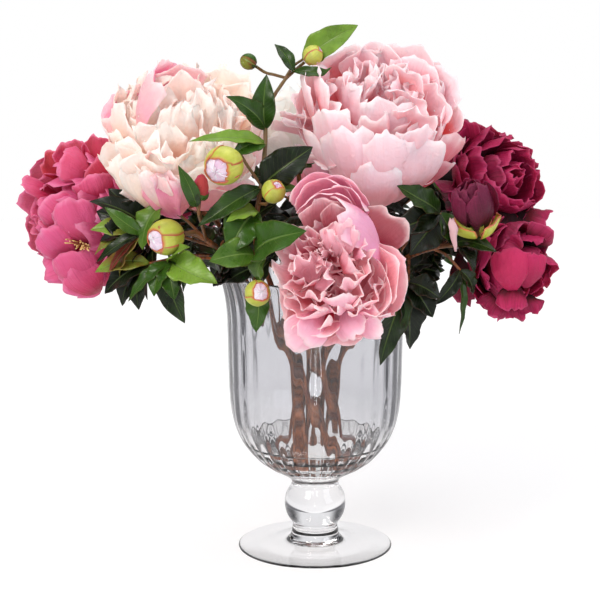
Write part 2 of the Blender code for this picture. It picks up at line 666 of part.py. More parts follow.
def main():
    clear_scene()
    materials = make_materials()
    parts = new_collection("peonies_in_vase")
    scratch = new_collection("repeats")
    cutters = new_collection("cutters")

    make_vase(parts, materials)

    blooms = {name: (centre, axis, size, stretch)
              for name, (centre, axis, size, stretch, _, _) in BLOOMS.items()}
    centre, axis, size = HALF_OPEN_FLOWER
    blooms["half_open"] = (centre, axis, size, 1.0)
    ends = {name: (bloom_base(bloom), Vector(bloom[1]).normalized()) for name, bloom in blooms.items()}
    for name, bud in BUDS.items():
        ends[name] = (bud_base(bud), Vector(bud[1]).normalized())

    balls = [(Vector(bloom[0]), bloom[2] * LEAF_CLEARANCE * max(1, 0.5 + 0.5 * bloom[3]))
             for bloom in blooms.values()]
    balls += [(Vector(bud[0]), bud[2] + BUD_CLEARANCE) for bud in BUDS.values()]

    feet = []
    for name in STEMS:
        route = stem_route(name, ends[STEMS[name][3]])
        feet.append(route[:2])
        twigs = []
        for bud_name, bearer, height in SIDE_BUDS:
            if bearer == name:
                end, heading = ends[bud_name]
                twigs.append((point_at_height(route[2], height), end - heading * GAP, heading))
        leafy = any(leaf[0] == name for leaf in LEAVES)
        make_stem(name, route, twigs, balls, materials["leaf" if leafy else "stem"], parts, scratch)
    make_water(feet, parts, cutters, materials)

    for seed, (name, bloom) in enumerate(blooms.items(), start=11):
        if name == "half_open":
            layers, finish = HALF_OPEN, "plum"
        else:
            layers, finish = BLOOMS[name][4:]
        make_bloom(name, bloom, layers, materials[finish], parts, scratch, seed)
    for name, bud in BUDS.items():
        make_bud(name, bud, materials, parts, scratch)


main()
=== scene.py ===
"""Looks of the peonies in a footed glass vase.

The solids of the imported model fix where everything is. Every bloom, bud, leaf, stem, the glass
and the water get a finely shaped piece here, with a material of its own. Lengths are in
millimetres up to the point where a mesh is laid out, and in metres from there on.
"""

import math
import random

import bmesh
import bpy
from mathutils import Matrix, Vector, noise
from mathutils.geometry import interpolate_bezier


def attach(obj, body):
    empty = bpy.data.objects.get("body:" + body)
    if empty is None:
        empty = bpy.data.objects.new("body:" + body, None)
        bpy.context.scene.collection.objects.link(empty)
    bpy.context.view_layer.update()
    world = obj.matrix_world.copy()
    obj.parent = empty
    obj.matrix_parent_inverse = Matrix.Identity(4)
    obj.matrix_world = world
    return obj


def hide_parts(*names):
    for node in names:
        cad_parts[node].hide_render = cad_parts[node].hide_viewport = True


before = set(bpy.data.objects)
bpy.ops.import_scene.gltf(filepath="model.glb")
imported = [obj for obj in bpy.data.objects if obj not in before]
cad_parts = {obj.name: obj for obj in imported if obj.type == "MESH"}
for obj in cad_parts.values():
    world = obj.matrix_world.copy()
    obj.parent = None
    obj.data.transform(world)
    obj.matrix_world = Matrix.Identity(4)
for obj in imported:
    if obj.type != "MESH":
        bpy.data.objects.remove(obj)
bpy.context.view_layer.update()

MM = 0.001

# ---------------------------------------------------------------- where everything stands

# The glass, as radius and height: in from under the foot, up the outside, and down the inside.
FOOT_UNDERSIDE = [(0, 5.2), (14, 5.0), (28, 4.0), (48, 1.7), (68, 0.2), (72.6, 0)]
FOOT_OUTLINE = [(72.6, 0), (73.7, 0.2), (74, 0.6), (73.7, 1.0), (72.2, 1.35), (50, 4.4), (34, 6.0),
                (26.6, 7.4), (23.8, 10.4), (22.4, 15.6), (21.7, 22.4)]
KNOP_OUTLINE = [(22.6, 24.6), (25.4, 28.6), (28.0, 34), (29.4, 42.5), (28.4, 51), (25.6, 57),
                (23.0, 61.6)]
BOWL_OUTLINE = [(22.7, 65.5), (25.6, 69.6), (34, 75), (46, 81.6), (58, 91), (68, 103.4),
                (75.4, 117.5), (80.2, 134), (82.2, 155), (83.0, 180), (83.6, 210), (84.6, 236),
                (87.4, 254), (91.4, 268), (95.0, 276.2), (95.4, 277.6)]
BOWL_RIM = [(94.6, 278.0), (93.4, 277.7), (92.0, 276.2)]
BOWL_INSIDE = [(88.2, 267.4), (84.0, 253.4), (81.0, 236), (79.8, 210), (79.2, 180), (78.2, 155),
               (75.8, 134), (70.8, 118.4), (62.8, 105.6), (52, 95), (40, 87.6), (28, 82.8),
               (14, 80.8), (0, 80.4)]
FOOT_EDGE = 5  # the point of the foot's outline where its rounded edge ends

# Flutes: their number, the depth of all of them, what is added towards the lip and low in the bowl,
# and the heights between which each of these grows.
FLUTES = 32
FLUTE_STEPS = 8
FLUTE_DEPTH = 0.5
LIP_FLUTE_DEPTH = 1.3
LOW_FLUTE_DEPTH = 0.6
FLUTE_START = 66
FLUTE_FULL = 91
LIP_FLUTES = (215, 275)
LOW_FLUTES = (140, 95)

WATER_LEVEL = 108
WATER_EDGE = 64.9
WATER_OVERLAP = 0.2
WATER_STEPS = 96

# Stems stand as a twisted bundle: an outer and an inner ring, wide at the foot and narrow at the
# waist. Turns are in degrees.
STEM_RADIUS = 3.0
TWIG_RADIUS = 1.5
PETIOLE_RADIUS = 1.1
BUNDLE_TWIST = 100
OUTER_FOOT = 33
OUTER_WAIST = 24
INNER_FOOT = 14
INNER_WAIST = 9
WAIST_HEIGHT = 185
FOOT_HEIGHTS = {OUTER_FOOT: 90.0, INNER_FOOT: 84.5}
STEM_STEPS = 8
RUN_UP = 14

# In radii of a bloom: how far behind its centre the petals' base lies, how far behind that its heel
# lies, and how far leaves keep off. Then a bud's heel, in its own radii.
BASE_DROP = 0.6
HEEL_DROP = 0.17
LEAF_CLEARANCE = 1.08
BUD_HEEL = 1.12
BUD_CLEARANCE = 2.2  # how far leaves keep off a bud, in millimetres

# Leaves: arch, fold along the rib, wave of the edge and quilting, in shares of length or width, and
# the number and slant of the side veins. A leaf that meets nearer than NODE_REACH has no stalk.
LEAF_ARCH = 0.16
LEAF_FOLD = 0.35
LEAF_WAVE = 0.16
LEAF_QUILT = 0.035
VEINS = 13
VEIN_SLANT = 2.6
NODE_REACH = 9

# Short leaves in the heart of the bunch, given a dark tone as painted shade: threes on each stem, and how
# far out they may reach.
INNER_LEAVES = 4
INNER_REACH = 118

PETAL_THICKNESS = 0.3
HEART_THICKNESS = 0.4
LEAF_THICKNESS = 0.5
CUP_THICKNESS = 0.6

FLOOR_RADIUS = 1.6
FLOOR_DROP = 0.0006

CAMERA_PLACE = (-0.0146, -2.52816, 0.85056)
CAMERA_TARGET = (-0.0146, 0, 0.2436)
CAMERA_LENS = 164.21
CAMERA_SENSOR = 36

# Seeds of the random draws: the first stem, bloom and bud count on from theirs, and a bloom's calyx
# and stamens add theirs to it. Without a seed, the noise that crumples petals differs in each run.
STEM_SEED = 101
BLOOM_SEED = 11
BUD_SEED = 71
CALYX_SEED = 40
STAMEN_SEED = 60
CUP_SEED = 64
NOISE_SEED = 7
NOISE_RANGE = 90  # each petal and leaf takes its noise from somewhere up to here

# Points nearer than this, in metres, become one: in a turned shape, and in a whole piece.
TURNED_WELD = 0.00001
PIECE_WELD = 0.00002

# Blooms: dome centre, direction faced, radius.
BLOOMS = {
    "bloom_cream": ((-120, -42, 404), (0.10, -0.34, 0.93), 68),
    "bloom_blush": ((55, -34, 420), (0.05, -0.62, 0.78), 73),
    "bloom_rose": ((19, -156, 297), (-0.20, -0.92, 0.30), 60),
    "bloom_magenta": ((-216, 16, 325), (-0.80, -0.55, 0.10), 63),
    "bloom_burgundy_upper": ((168, 22, 354), (0.52, -0.60, 0.30), 47),
    "bloom_burgundy_lower": ((180, -38, 286), (0.62, -0.74, -0.10), 47),
    "bloom_white_back": ((-20, 92, 386), (-0.10, 0.42, 0.90), 50),
    "bloom_magenta_back": ((-118, 130, 330), (-0.60, 0.76, 0.20), 52),
    "bloom_rose_back": ((24, 160, 312), (0.10, 0.98, 0.12), 54),
    "bloom_burgundy_back": ((128, 128, 350), (0.55, 0.70, 0.40), 48),
    "half_open": ((142, -118, 352), (-0.15, -0.20, 0.97), 21),
}

# Buds: centre, direction of the tip, radius.
BUDS = {
    "bud_large": ((-82, -140, 400), (-0.42, -0.88, -0.20), 17.5),
    "bud_left": ((-135, -117, 330), (-0.76, -0.65, 0.0), 16.5),
    "bud_small": ((-38, -142, 377), (0.40, -0.50, 0.77), 10.5),
    "bud_low": ((-52, -167, 290), (0.30, -0.90, 0.30), 11.5),
    "bud_top": ((-3, -50, 485), (0.75, -0.10, 0.65), 9),
    "bud_green": ((-62, -22, 475), (-0.80, -0.20, 0.56), 7.5),
    "bud_crimson": ((-103, -144, 377), (0.10, -0.10, 0.98), 8),
}

# Stems: place round the bundle (degrees), inner ring or not, points passed above the waist, end.
STEMS = {
    "stem_cream": (203, False, [(-62, -15, 258), (-92, -17, 322)], "bloom_cream"),
    "stem_blush": (340, True, [(26, -6, 262), (46, -4, 335)], "bloom_blush"),
    "stem_rose": (286, False, [(28, -62, 256), (29, -91, 290)], "bloom_rose"),
    "stem_magenta": (154, False, [(-66, 19, 254), (-95, 27, 290), (-140, 40, 312)], "bloom_magenta"),
    "stem_burgundy_upper": (24, False, [(66, 30, 262), (96, 40, 302)], "bloom_burgundy_upper"),
    "stem_burgundy_lower": (12, False, [(68, -8, 254), (97, -16, 288)], "bloom_burgundy_lower"),
    "stem_half_open": (327, False, [(60, -42, 256), (77, -54, 291), (110, -86, 314)], "half_open"),
    "stem_white_back": (130, True, [(-14, 28, 266)], "bloom_white_back"),
    "stem_magenta_back": (142, False, [(-46, 50, 256), (-64, 72, 292)], "bloom_magenta_back"),
    "stem_rose_back": (90, False, [(-2, 68, 256), (4, 96, 291)], "bloom_rose_back"),
    "stem_burgundy_back": (78, False, [(36, 58, 256), (56, 78, 294)], "bloom_burgundy_back"),
    "spray_left": (216, False, [(-44, -50, 254), (-64, -70, 290), (-98, -90, 320)], "bud_left"),
    "spray_centre": (273, False, [(-24, -66, 254), (-31, -89, 290), (-52, -122, 316), (-54, -126, 345),
                                  (-49, -118, 381), (-46, -98, 410), (-44, -82, 440), (-30, -68, 463)],
                     "bud_top"),
}

# Side buds: the bud, the stem that bears it, and the height at which its stalk leaves that stem.
SIDE_BUDS = [
    ("bud_large", "spray_centre", 378),
    ("bud_small", "spray_centre", 362),
    ("bud_low", "spray_centre", 312),
    ("bud_green", "spray_centre", 466),
    ("bud_crimson", "spray_left", 322),
]

# Leaves: stem, height at which the stalk leaves it, meeting point, and the tip, width and tone of
# each leaflet: 0 is nearly black green, 0.5 mid green, 0.8 bright yellow green, 1 flushed red.
# The low tones are partly painted shade on leaflets that lie in shade, the bright ones partly
# painted light.
LEAVES = [
    ("spray_left", 312, (-158, -98, 329), [
        ((-191, -96, 353), 14, 0.55), ((-199, -98, 303), 12, 0.2), ((-190, -90, 290), 10, 1.0),
        ((-180, -84, 281), 18, 0.95)]),
    ("spray_left", 296, (-133, -110, 306), [
        ((-170, -118, 271), 14, 0.35), ((-147, -128, 277), 22, 0.4), ((-119, -126, 252), 25, 0.2),
        ((-127, -132, 275), 22, 0.35), ((-89, -140, 292), 30, 0.75), ((-113, -140, 326), 14, 0.7)]),
    ("spray_left", 322, (-140, -92, 354), [((-158, -104, 316), 24, 0.6)]),
    ("spray_left", 320, (-150, -74, 326), [
        ((-190, -74, 366), 36, 0.05), ((-200, -76, 344), 38, 0.05), ((-198, -76, 318), 36, 0.08),
        ((-192, -72, 296), 36, 0.05), ((-178, -70, 274), 30, 0.1),
        ((-206, -82, 356), 26, 0.08), ((-206, -84, 330), 24, 0.9), ((-202, -84, 306), 24, 0.92)]),
    ("spray_left", 304, (-152, -92, 300), [
        ((-194, -84, 270), 24, 0.12), ((-178, -92, 260), 26, 0.08), ((-162, -98, 258), 22, 0.05),
        ((-202, -82, 290), 20, 0.93)]),
    ("spray_left", 322, (-106, -146, 364), [((-122, -152, 402), 14, 0.35), ((-114, -150, 384), 12, 0.25)]),
    ("spray_centre", 376, (-50, -118, 381), [
        ((-105, -142, 346), 20, 0.3), ((-4, -120, 413), 32, 0.15), ((-14, -126, 376), 12, 0.6)]),
    ("spray_centre", 356, (-55, -128, 362), [((-79, -144, 321), 34, 0.45), ((-80, -150, 351), 17, 0.78)]),
    ("spray_centre", 338, (-55, -138, 318), [((-8, -196, 352), 34, 0.4), ((-96, -150, 316), 28, 0.6)]),
    ("spray_centre", 308, (-53, -136, 296), [((-44, -146, 322), 18, 0.6), ((-54, -140, 247), 22, 0.45)]),
    ("spray_centre", 412, (-49, -100, 413), [((-76, -118, 405), 18, 0.45), ((-113, -130, 420), 14, 0.7)]),
    ("spray_centre", 424, (-49, -92, 427), [
        ((-81, -104, 456), 20, 0.3), ((-68, -88, 452), 18, 0.45), ((-44, -92, 474), 22, 0.3)]),
    ("spray_centre", 462, (-12, -28, 478), [((38, -34, 511), 26, 0.7)]),
    ("spray_centre", 470, (-20, -62, 472), [((-38, -48, 495), 12, 0.3), ((18, -66, 471), 10, 0.35)]),
    ("stem_half_open", 300, (84, -100, 284), [
        ((85, -106, 222), 28, 0.1), ((106, -110, 254), 27, 0.1), ((113, -108, 271), 24, 0.15),
        ((58, -122, 212), 26, 0.2)]),
    ("stem_half_open", 312, (132, -84, 292), [
        ((108, -98, 262), 14, 0.15), ((132, -86, 232), 9, 0.3), ((145, -78, 268), 16, 0.2)]),
    ("stem_half_open", 318, (112, -98, 348), [
        ((72, -104, 374), 24, 0.25), ((66, -112, 332), 26, 0.1), ((84, -112, 312), 30, 0.12),
        ((128, -98, 318), 22, 0.3)]),
    ("stem_cream", 300, (-84, -40, 322), [
        ((-108, -80, 300), 28, 0.1), ((-68, -92, 334), 30, 0.12)]),
    ("stem_cream", 304, (-66, -30, 318), [
        ((-62, -62, 370), 34, 0.08), ((-36, -66, 350), 30, 0.15), ((-84, -74, 346), 28, 0.1)]),
    ("stem_magenta", 304, (-144, 14, 300), [
        ((-180, -12, 262), 26, 0.05), ((-158, -24, 250), 28, 0.1), ((-196, -14, 282), 22, 0.1),
        ((-150, -40, 276), 26, 0.2)]),
    ("stem_burgundy_lower", 292, (100, -30, 330), [
        ((80, -56, 364), 30, 0.05), ((114, -56, 356), 30, 0.05), ((98, -64, 296), 30, 0.05),
        ((76, -62, 284), 28, 0.08), ((126, -62, 300), 28, 0.08)]),
    ("stem_half_open", 318, (126, -96, 322), [((162, -132, 320), 20, 0.2), ((142, -134, 300), 22, 0.1)]),
    ("stem_magenta", 300, (-128, 0, 318), [
        ((-156, -42, 298), 28, 0.15), ((-146, -52, 338), 28, 0.2)]),
    ("stem_blush", 300, (14, -50, 338), [
        ((-20, -92, 352), 30, 0.1), ((26, -94, 362), 30, 0.1)]),
    ("stem_burgundy_upper", 300, (100, 8, 332), [
        ((92, -48, 352), 30, 0.1), ((128, -44, 314), 28, 0.15)]),
    ("stem_magenta_back", 296, (-94, 64, 296), [
        ((-166, 84, 262), 30, 0.4), ((-128, 66, 236), 28, 0.3), ((-84, 116, 250), 30, 0.5)]),
    ("stem_rose_back", 292, (34, 104, 286), [((74, 142, 256), 30, 0.45), ((36, 118, 222), 26, 0.3)]),
    ("stem_rose_back", 292, (-20, 108, 292), [((-62, 146, 280), 30, 0.5), ((-42, 122, 240), 28, 0.35)]),
    ("stem_burgundy_back", 300, (88, 84, 300), [((134, 84, 258), 30, 0.4), ((104, 112, 246), 28, 0.5)]),
    ("stem_white_back", 316, (-34, 70, 332), [((-80, 104, 352), 30, 0.4), ((-64, 52, 380), 26, 0.3)]),
    ("stem_white_back", 326, (26, 68, 344), [((62, 108, 362), 30, 0.45)]),
]


# ---------------------------------------------------------------- node helpers

def colour(code):
    """A hex colour as linear light, with alpha."""
    parts = [int(code[i:i + 2], 16) / 255 for i in (0, 2, 4)]
    return (*[((c + 0.055) / 1.055) ** 2.4 if c > 0.04045 else c / 12.92 for c in parts], 1.0)


# Places of a mix node's sockets for colours: share, first and second, and the result.
MIX_INPUTS = (0, 6, 7)
MIX_RESULT = 2

SOCKETS = {"colour": "NodeSocketColor", "value": "NodeSocketFloat"}


class Wiring:
    """Places and joins the nodes of one node tree."""

    def __init__(self, tree):
        self.tree = tree

    def add(self, kind, inputs=(), **settings):
        node = self.tree.nodes.new(kind)
        for name, value in settings.items():
            setattr(node, name, value)
        for socket, value in dict(inputs).items():
            self.put(value, node.inputs[socket])
        return node

    def put(self, value, socket):
        """Joins another node's output to a socket, or sets its value."""
        if isinstance(value, bpy.types.NodeSocket):
            self.tree.links.new(value, socket)
        elif isinstance(value, bpy.types.Node):
            self.tree.links.new(value.outputs[0], socket)
        else:
            socket.default_value = value

    def maths(self, operation, *values, clamp=False):
        node = self.add("ShaderNodeMath", operation=operation, use_clamp=clamp)
        for socket, value in zip(node.inputs, values):
            self.put(value, socket)
        return node.outputs[0]

    def times(self, first, second):
        return self.maths("MULTIPLY", first, second)

    def parts(self, vector):
        """The X, Y and Z of a vector."""
        return self.add("ShaderNodeSeparateXYZ", inputs={"Vector": vector}).outputs

    def place(self):
        """A point's own place, in metres."""
        return self.add("ShaderNodeTexCoord").outputs["Object"]

    def blade(self):
        """A point's place across and along its blade, and the blade's tone."""
        return self.parts(self.add("ShaderNodeAttribute", attribute_name="blade").outputs["Vector"])

    def smooth(self, value, low, high):
        """0 on the side of low, 1 on the side of high, and smooth between them."""
        node = self.add("ShaderNodeMapRange", interpolation_type="SMOOTHSTEP",
                        inputs={"Value": value, "From Min": low, "From Max": high})
        return node.outputs["Result"]

    def mix(self, share, first, second):
        node = self.add("ShaderNodeMix", data_type="RGBA", clamp_factor=True)
        for socket, value in zip(MIX_INPUTS, (share, first, second)):
            self.put(value, node.inputs[socket])
        return node.outputs[MIX_RESULT]

    def scaled(self, values, scales):
        """A place on a blade, stretched for a pattern."""
        parts = [self.times(value, scale) for value, scale in zip(values, scales)]
        return self.add("ShaderNodeCombineXYZ", inputs=dict(zip("XYZ", parts)))

    def noise(self, place, scale, detail=2.0, roughness=0.5, distortion=0.0):
        node = self.add("ShaderNodeTexNoise", inputs={
            "Vector": place, "Scale": scale, "Detail": detail, "Roughness": roughness,
            "Distortion": distortion})
        return node.outputs["Fac"]


def new_group(name, inputs, outputs):
    """An empty node group: its wiring, and its inputs and outputs as seen from within."""
    tree = bpy.data.node_groups.new(name, "ShaderNodeTree")
    for way, labels in (("INPUT", inputs), ("OUTPUT", outputs)):
        for label, kind in labels.items():
            tree.interface.new_socket(name=label, in_out=way, socket_type=SOCKETS[kind])
    wiring = Wiring(tree)
    return wiring, wiring.add("NodeGroupInput").outputs, wiring.add("NodeGroupOutput").inputs


def new_material(name, roughness, **plain):
    """A material with a Principled shader, whose plain values are set on its own sockets."""
    material = bpy.data.materials.new(name)
    material.use_nodes = True
    wiring = Wiring(material.node_tree)
    shader = material.node_tree.nodes["Principled BSDF"]
    shader.inputs["Roughness"].default_value = roughness
    for label, value in plain.items():
        shader.inputs[label.replace("_", " ")].default_value = value
    return material, wiring, shader


def use_group(wiring, group, values):
    node = wiring.add("ShaderNodeGroup")
    node.node_tree = group.tree
    for label, value in values.items():
        wiring.put(value, node.inputs[label])
    return node


def raise_surface(wiring, shader, height, distance, strength):
    """Lets a height pattern stand up from the surface."""
    bump = wiring.add("ShaderNodeBump", inputs={"Height": height, "Distance": distance,
                                                "Strength": strength})
    wiring.put(bump, shader.inputs["Normal"])


# ---------------------------------------------------------------- materials

PETAL_TINTS = ("Foot", "Middle", "Tip", "Margin", "Deep", "Flush")
PETAL_SHARES = ("Veins", "Margin width", "Foot reach")
LEAF_TINTS = {"Dark": "0D1607", "Mid": "365A16", "Bright": "7FA23A", "Flush": "7A2A1C", "Rib": "7F9A50"}


def petal_pattern():
    """Colour and relief of a petal: from foot to tip, with veins, blotches and a paler margin. The deeper
    foot is partly the petal's own colour and partly painted shade of the bloom's depths. Its tone darkens
    or pales the whole petal: random tone in the rings, painted shade and painted light on single petals.
    """
    wiring, given, result = new_group(
        "petal_pattern", {**dict.fromkeys(PETAL_TINTS, "colour"), **dict.fromkeys(PETAL_SHARES, "value")},
        {"Color": "colour", "Height": "value"})
    across, along, tone = wiring.blade()
    place = wiring.place()
    cloud = wiring.noise(place, 38.0, detail=3.0)
    wander = wiring.maths("MULTIPLY_ADD", cloud, 0.5, -0.25)
    run = wiring.maths("ADD", along, wander)
    # The foot colour is partly the petal's own deeper base and partly painted shade down in the bloom's
    # depths.
    foot_end = wiring.maths("ADD", given["Foot reach"], 0.34)
    body = wiring.mix(wiring.smooth(run, given["Foot reach"], foot_end),
                      given["Foot"], given["Middle"])
    body = wiring.mix(wiring.smooth(run, 0.45, 0.95), body, given["Tip"])
    fan = wiring.scaled((across, along, tone), (9.0, 0.8, 41.0))
    veins = wiring.noise(fan, 1.6, detail=4.0, roughness=0.62)
    vein_share = wiring.times(wiring.smooth(veins, 0.44, 0.66), given["Veins"])
    body = wiring.mix(vein_share, body, given["Deep"])
    # A low tone mixes in the deep colour: random darkening in the rings, painted shade on single petals
    # set in shade.
    tone_and_painted_shade_share = wiring.times(wiring.smooth(tone, 0.5, 0.0), 0.75)
    body = wiring.mix(tone_and_painted_shade_share, body, given["Deep"])
    # A high tone pales the petal towards its tip colour: random in the rings, painted light on single
    # petals that catch the light.
    body = wiring.mix(wiring.times(wiring.smooth(tone, 0.6, 1.0), 0.6), body, given["Tip"])
    flush = wiring.add("ShaderNodeAttribute", attribute_name="flush").outputs["Fac"]
    flush_share = wiring.times(flush, wiring.maths("MULTIPLY_ADD", cloud, 0.9, 0.4, clamp=True))
    body = wiring.mix(flush_share, body, given["Flush"])
    side = wiring.maths("ABSOLUTE", across)
    margin_start = wiring.maths("SUBTRACT", 1.0, given["Margin width"])
    rim = wiring.maths("MAXIMUM", along, wiring.times(side, wiring.smooth(along, 0.3, 0.8)))
    frayed = wiring.maths("ADD", rim, wiring.times(wander, 0.35))
    rim_share = wiring.times(wiring.smooth(frayed, margin_start, 1.02),
                             wiring.maths("MULTIPLY_ADD", cloud, 1.6, -0.35, clamp=True))
    body = wiring.mix(rim_share, body, given["Margin"])
    wiring.put(body, result["Color"])
    crinkle = wiring.noise(place, 130.0, detail=4.0, roughness=0.55, distortion=0.6)
    relief = wiring.maths("MULTIPLY_ADD", veins, 0.5, wiring.times(crinkle, 1.1))
    wiring.put(relief, result["Height"])
    return wiring


def leaf_pattern():
    """Colour and relief of a leaf: its tone, a rib, slanting veins and quilting between them. The tone is
    partly painted shade and painted light.
    """
    wiring, given, result = new_group(
        "leaf_pattern", dict.fromkeys(LEAF_TINTS, "colour"),
        {"Color": "colour", "Height": "value", "Roughness": "value"})
    across, along, tone = wiring.blade()
    place = wiring.place()
    cloud = wiring.noise(place, 45.0, detail=4.0, roughness=0.6)
    shade = wiring.maths("ADD", tone, wiring.maths("MULTIPLY_ADD", cloud, 0.36, -0.18))
    body = wiring.mix(wiring.smooth(shade, 0.12, 0.5), given["Dark"], given["Mid"])
    body = wiring.mix(wiring.smooth(shade, 0.5, 0.82), body, given["Bright"])
    body = wiring.mix(wiring.smooth(shade, 0.86, 1.0), body, given["Flush"])
    side = wiring.maths("ABSOLUTE", across)
    slant = wiring.maths("SUBTRACT", wiring.times(along, VEINS), wiring.times(side, VEIN_SLANT))
    wave = wiring.maths("ABSOLUTE", wiring.maths("SINE", wiring.times(slant, math.pi)))
    veins = wiring.smooth(wave, 0.2, 0.0)
    rib = wiring.smooth(side, 0.09, 0.02)
    lines = wiring.maths("MAXIMUM", rib, wiring.times(veins, 0.3))
    line_share = wiring.times(lines, wiring.maths("MULTIPLY_ADD", tone, 0.6, 0.18))
    body = wiring.mix(line_share, body, given["Rib"])
    rim = wiring.times(wiring.smooth(side, 0.94, 1.0), 0.15)
    body = wiring.mix(rim, body, given["Flush"])
    wiring.put(body, result["Color"])
    quilt = wiring.maths("MULTIPLY_ADD", lines, -0.7, wiring.times(cloud, 0.5))
    wiring.put(quilt, result["Height"])
    wiring.put(wiring.maths("MULTIPLY_ADD", cloud, 0.30, 0.16), result["Roughness"])
    return wiring


PETAL_COLOURS = {
    # foot (partly painted shade), middle, tip, margin, deep (veins, painted shade), flush, veins, margin
    # width, foot reach, subsurface, own light (painted glow)
    "cream": ("F4AC86", "F8D4BC", "FCE8DA", "FFF6F0", "D6A698", "EC6A9A", 0.06, 0.22, 0.28, 0.5, 0.09),
    "white": ("E2D2B8", "F0E7DC", "F5F0EA", "FBF8F4", "D8C4B8", "E4BCC4", 0.15, 0.12, 0.12, 0.4, 0.06),
    "blush": ("E84444", "F09AA4", "F8CED6", "FFF2F2", "C84C5E", "CC9AA2", 0.12, 0.24, 0.38, 0.5, 0.08),
    "rose": ("A00C2C", "DE6E80", "F6B4BE", "FCE2E0", "741A32", "EC8EBA", 0.16, 0.20, 0.34, 0.4, 0.09),
    "magenta": ("8C0E30", "C02458", "DE5A8A", "EE8CB0", "860A30", "D03A44", 0.24, 0.12, 0.22, 0.3, 0.05),
    "burgundy": ("1C0006", "8C0C38", "B82258", "D04C7C", "200008", "D42A5E", 0.30, 0.08, 0.34, 0.2, 0.0),
    "plum": ("32080F", "5A0E2A", "6C1A3C", "741E42", "240510", "DDB0B4", 0.40, 0.08, 0.10, 0.15, 0.0),
    "crimson": ("7A0E20", "B41A40", "C22C52", "D0506C", "50081A", "DC5A44", 0.35, 0.08, 0.10, 0.2, 0.03),
    "bud_petal": ("E8A0C0", "FBEAF0", "FFF6F8", "FFFFFF", "D070B0", "C45AA8", 0.30, 0.10, 0.10, 0.4, 0.10),
}


def petal_materials():
    pattern = petal_pattern()
    materials = {}
    for name, (*tints, veins, width, reach, soft, painted_glow) in PETAL_COLOURS.items():
        material, wiring, shader = new_material(
            name + "_petals", 0.55, Subsurface_Weight=soft, Subsurface_Radius=(1.0, 0.42, 0.36),
            Subsurface_Scale=0.005, Emission_Strength=painted_glow, Sheen_Weight=1.2 * painted_glow + 0.02,
            Sheen_Roughness=0.4, Specular_IOR_Level=0.25)
        values = [colour(tint) for tint in tints] + [veins, width, reach]
        petal = use_group(wiring, pattern, dict(zip(PETAL_TINTS + PETAL_SHARES, values)))
        wiring.put(petal.outputs["Color"], shader.inputs["Base Color"])
        # The petal colour is also emitted: a painted glow that lifts the petals' shade, though a petal is
        # no lamp.
        wiring.put(petal.outputs["Color"], shader.inputs["Emission Color"])
        raise_surface(wiring, shader, petal.outputs["Height"], 0.002, 0.6)
        materials[name] = material
    return materials


def leaf_material():
    material, wiring, shader = new_material(
        "leaf_green", 0.35, Subsurface_Weight=0.12, Subsurface_Radius=(0.5, 1.0, 0.2),
        Subsurface_Scale=0.0015, Specular_IOR_Level=0.32)
    tints = {label: colour(tint) for label, tint in LEAF_TINTS.items()}
    leaf = use_group(wiring, leaf_pattern(), tints)
    wiring.put(leaf.outputs["Color"], shader.inputs["Base Color"])
    wiring.put(leaf.outputs["Roughness"], shader.inputs["Roughness"])
    raise_surface(wiring, shader, leaf.outputs["Height"], 0.0012, 0.7)
    return material


def stem_material():
    """Stems: red-brown bark streaked along, greener near the flowers."""
    material, wiring, shader = new_material("stem_skin", 0.45, Specular_IOR_Level=0.5)
    place = wiring.place()
    stretched = wiring.add("ShaderNodeMapping", inputs={"Vector": place, "Scale": (300, 300, 14)})
    streaks = wiring.noise(stretched, 1.0, detail=4.0, roughness=0.6)
    cloud = wiring.noise(place, 22.0)
    bark = wiring.mix(wiring.smooth(streaks, 0.32, 0.7), colour("421806"), colour("A05A2A"))
    bark = wiring.mix(wiring.smooth(cloud, 0.5, 0.75), bark, colour("5E1A16"))
    height = wiring.parts(place)["Z"]
    lift = wiring.maths("ADD", height, wiring.maths("MULTIPLY_ADD", cloud, 0.16, -0.08))
    green = wiring.mix(streaks, colour("54602A"), colour("7C3A26"))
    skin = wiring.mix(wiring.smooth(lift, 0.27, 0.40), bark, green)
    wiring.put(skin, shader.inputs["Base Color"])
    raise_surface(wiring, shader, streaks, 0.0006, 0.5)
    return material


def sepal_material():
    """Bud sepals: yellow green, flushed orange pink along their edges."""
    material, wiring, shader = new_material(
        "bud_sepals", 0.38, Subsurface_Weight=0.25, Subsurface_Radius=(1.0, 0.8, 0.2),
        Subsurface_Scale=0.003, Specular_IOR_Level=0.5)
    across, along, tone = wiring.blade()
    place = wiring.place()
    cloud = wiring.noise(place, 90.0, detail=3.0)
    body = wiring.mix(wiring.smooth(cloud, 0.35, 0.7), colour("AEB43C"), colour("C9CC5E"))
    body = wiring.mix(wiring.smooth(along, 0.35, 0.0), body, colour("86962C"))
    rim = wiring.maths("MAXIMUM", wiring.maths("ABSOLUTE", across), wiring.times(along, 0.99))
    frayed = wiring.maths("ADD", rim, wiring.maths("MULTIPLY_ADD", cloud, 0.1, -0.05))
    flush = wiring.mix(tone, colour("C86A3E"), colour("C05248"))
    body = wiring.mix(wiring.smooth(frayed, 0.88, 0.985), body, flush)
    fan = wiring.scaled((across, along, tone), (10.0, 0.9, 30.0))
    lines = wiring.noise(fan, 1.8, detail=3.0)
    body = wiring.mix(wiring.times(wiring.smooth(lines, 0.5, 0.7), 0.22), body, colour("98A030"))
    wiring.put(body, shader.inputs["Base Color"])
    raise_surface(wiring, shader, lines, 0.0008, 0.45)
    return material


def stamen_material():
    material, wiring, shader = new_material("stamens", 0.6)
    place = wiring.place()
    grain = wiring.noise(place, 600.0)
    wiring.put(wiring.mix(grain, colour("F3D9A8"), colour("E8B85C")), shader.inputs["Base Color"])
    raise_surface(wiring, shader, grain, 0.0004, 0.5)
    return material


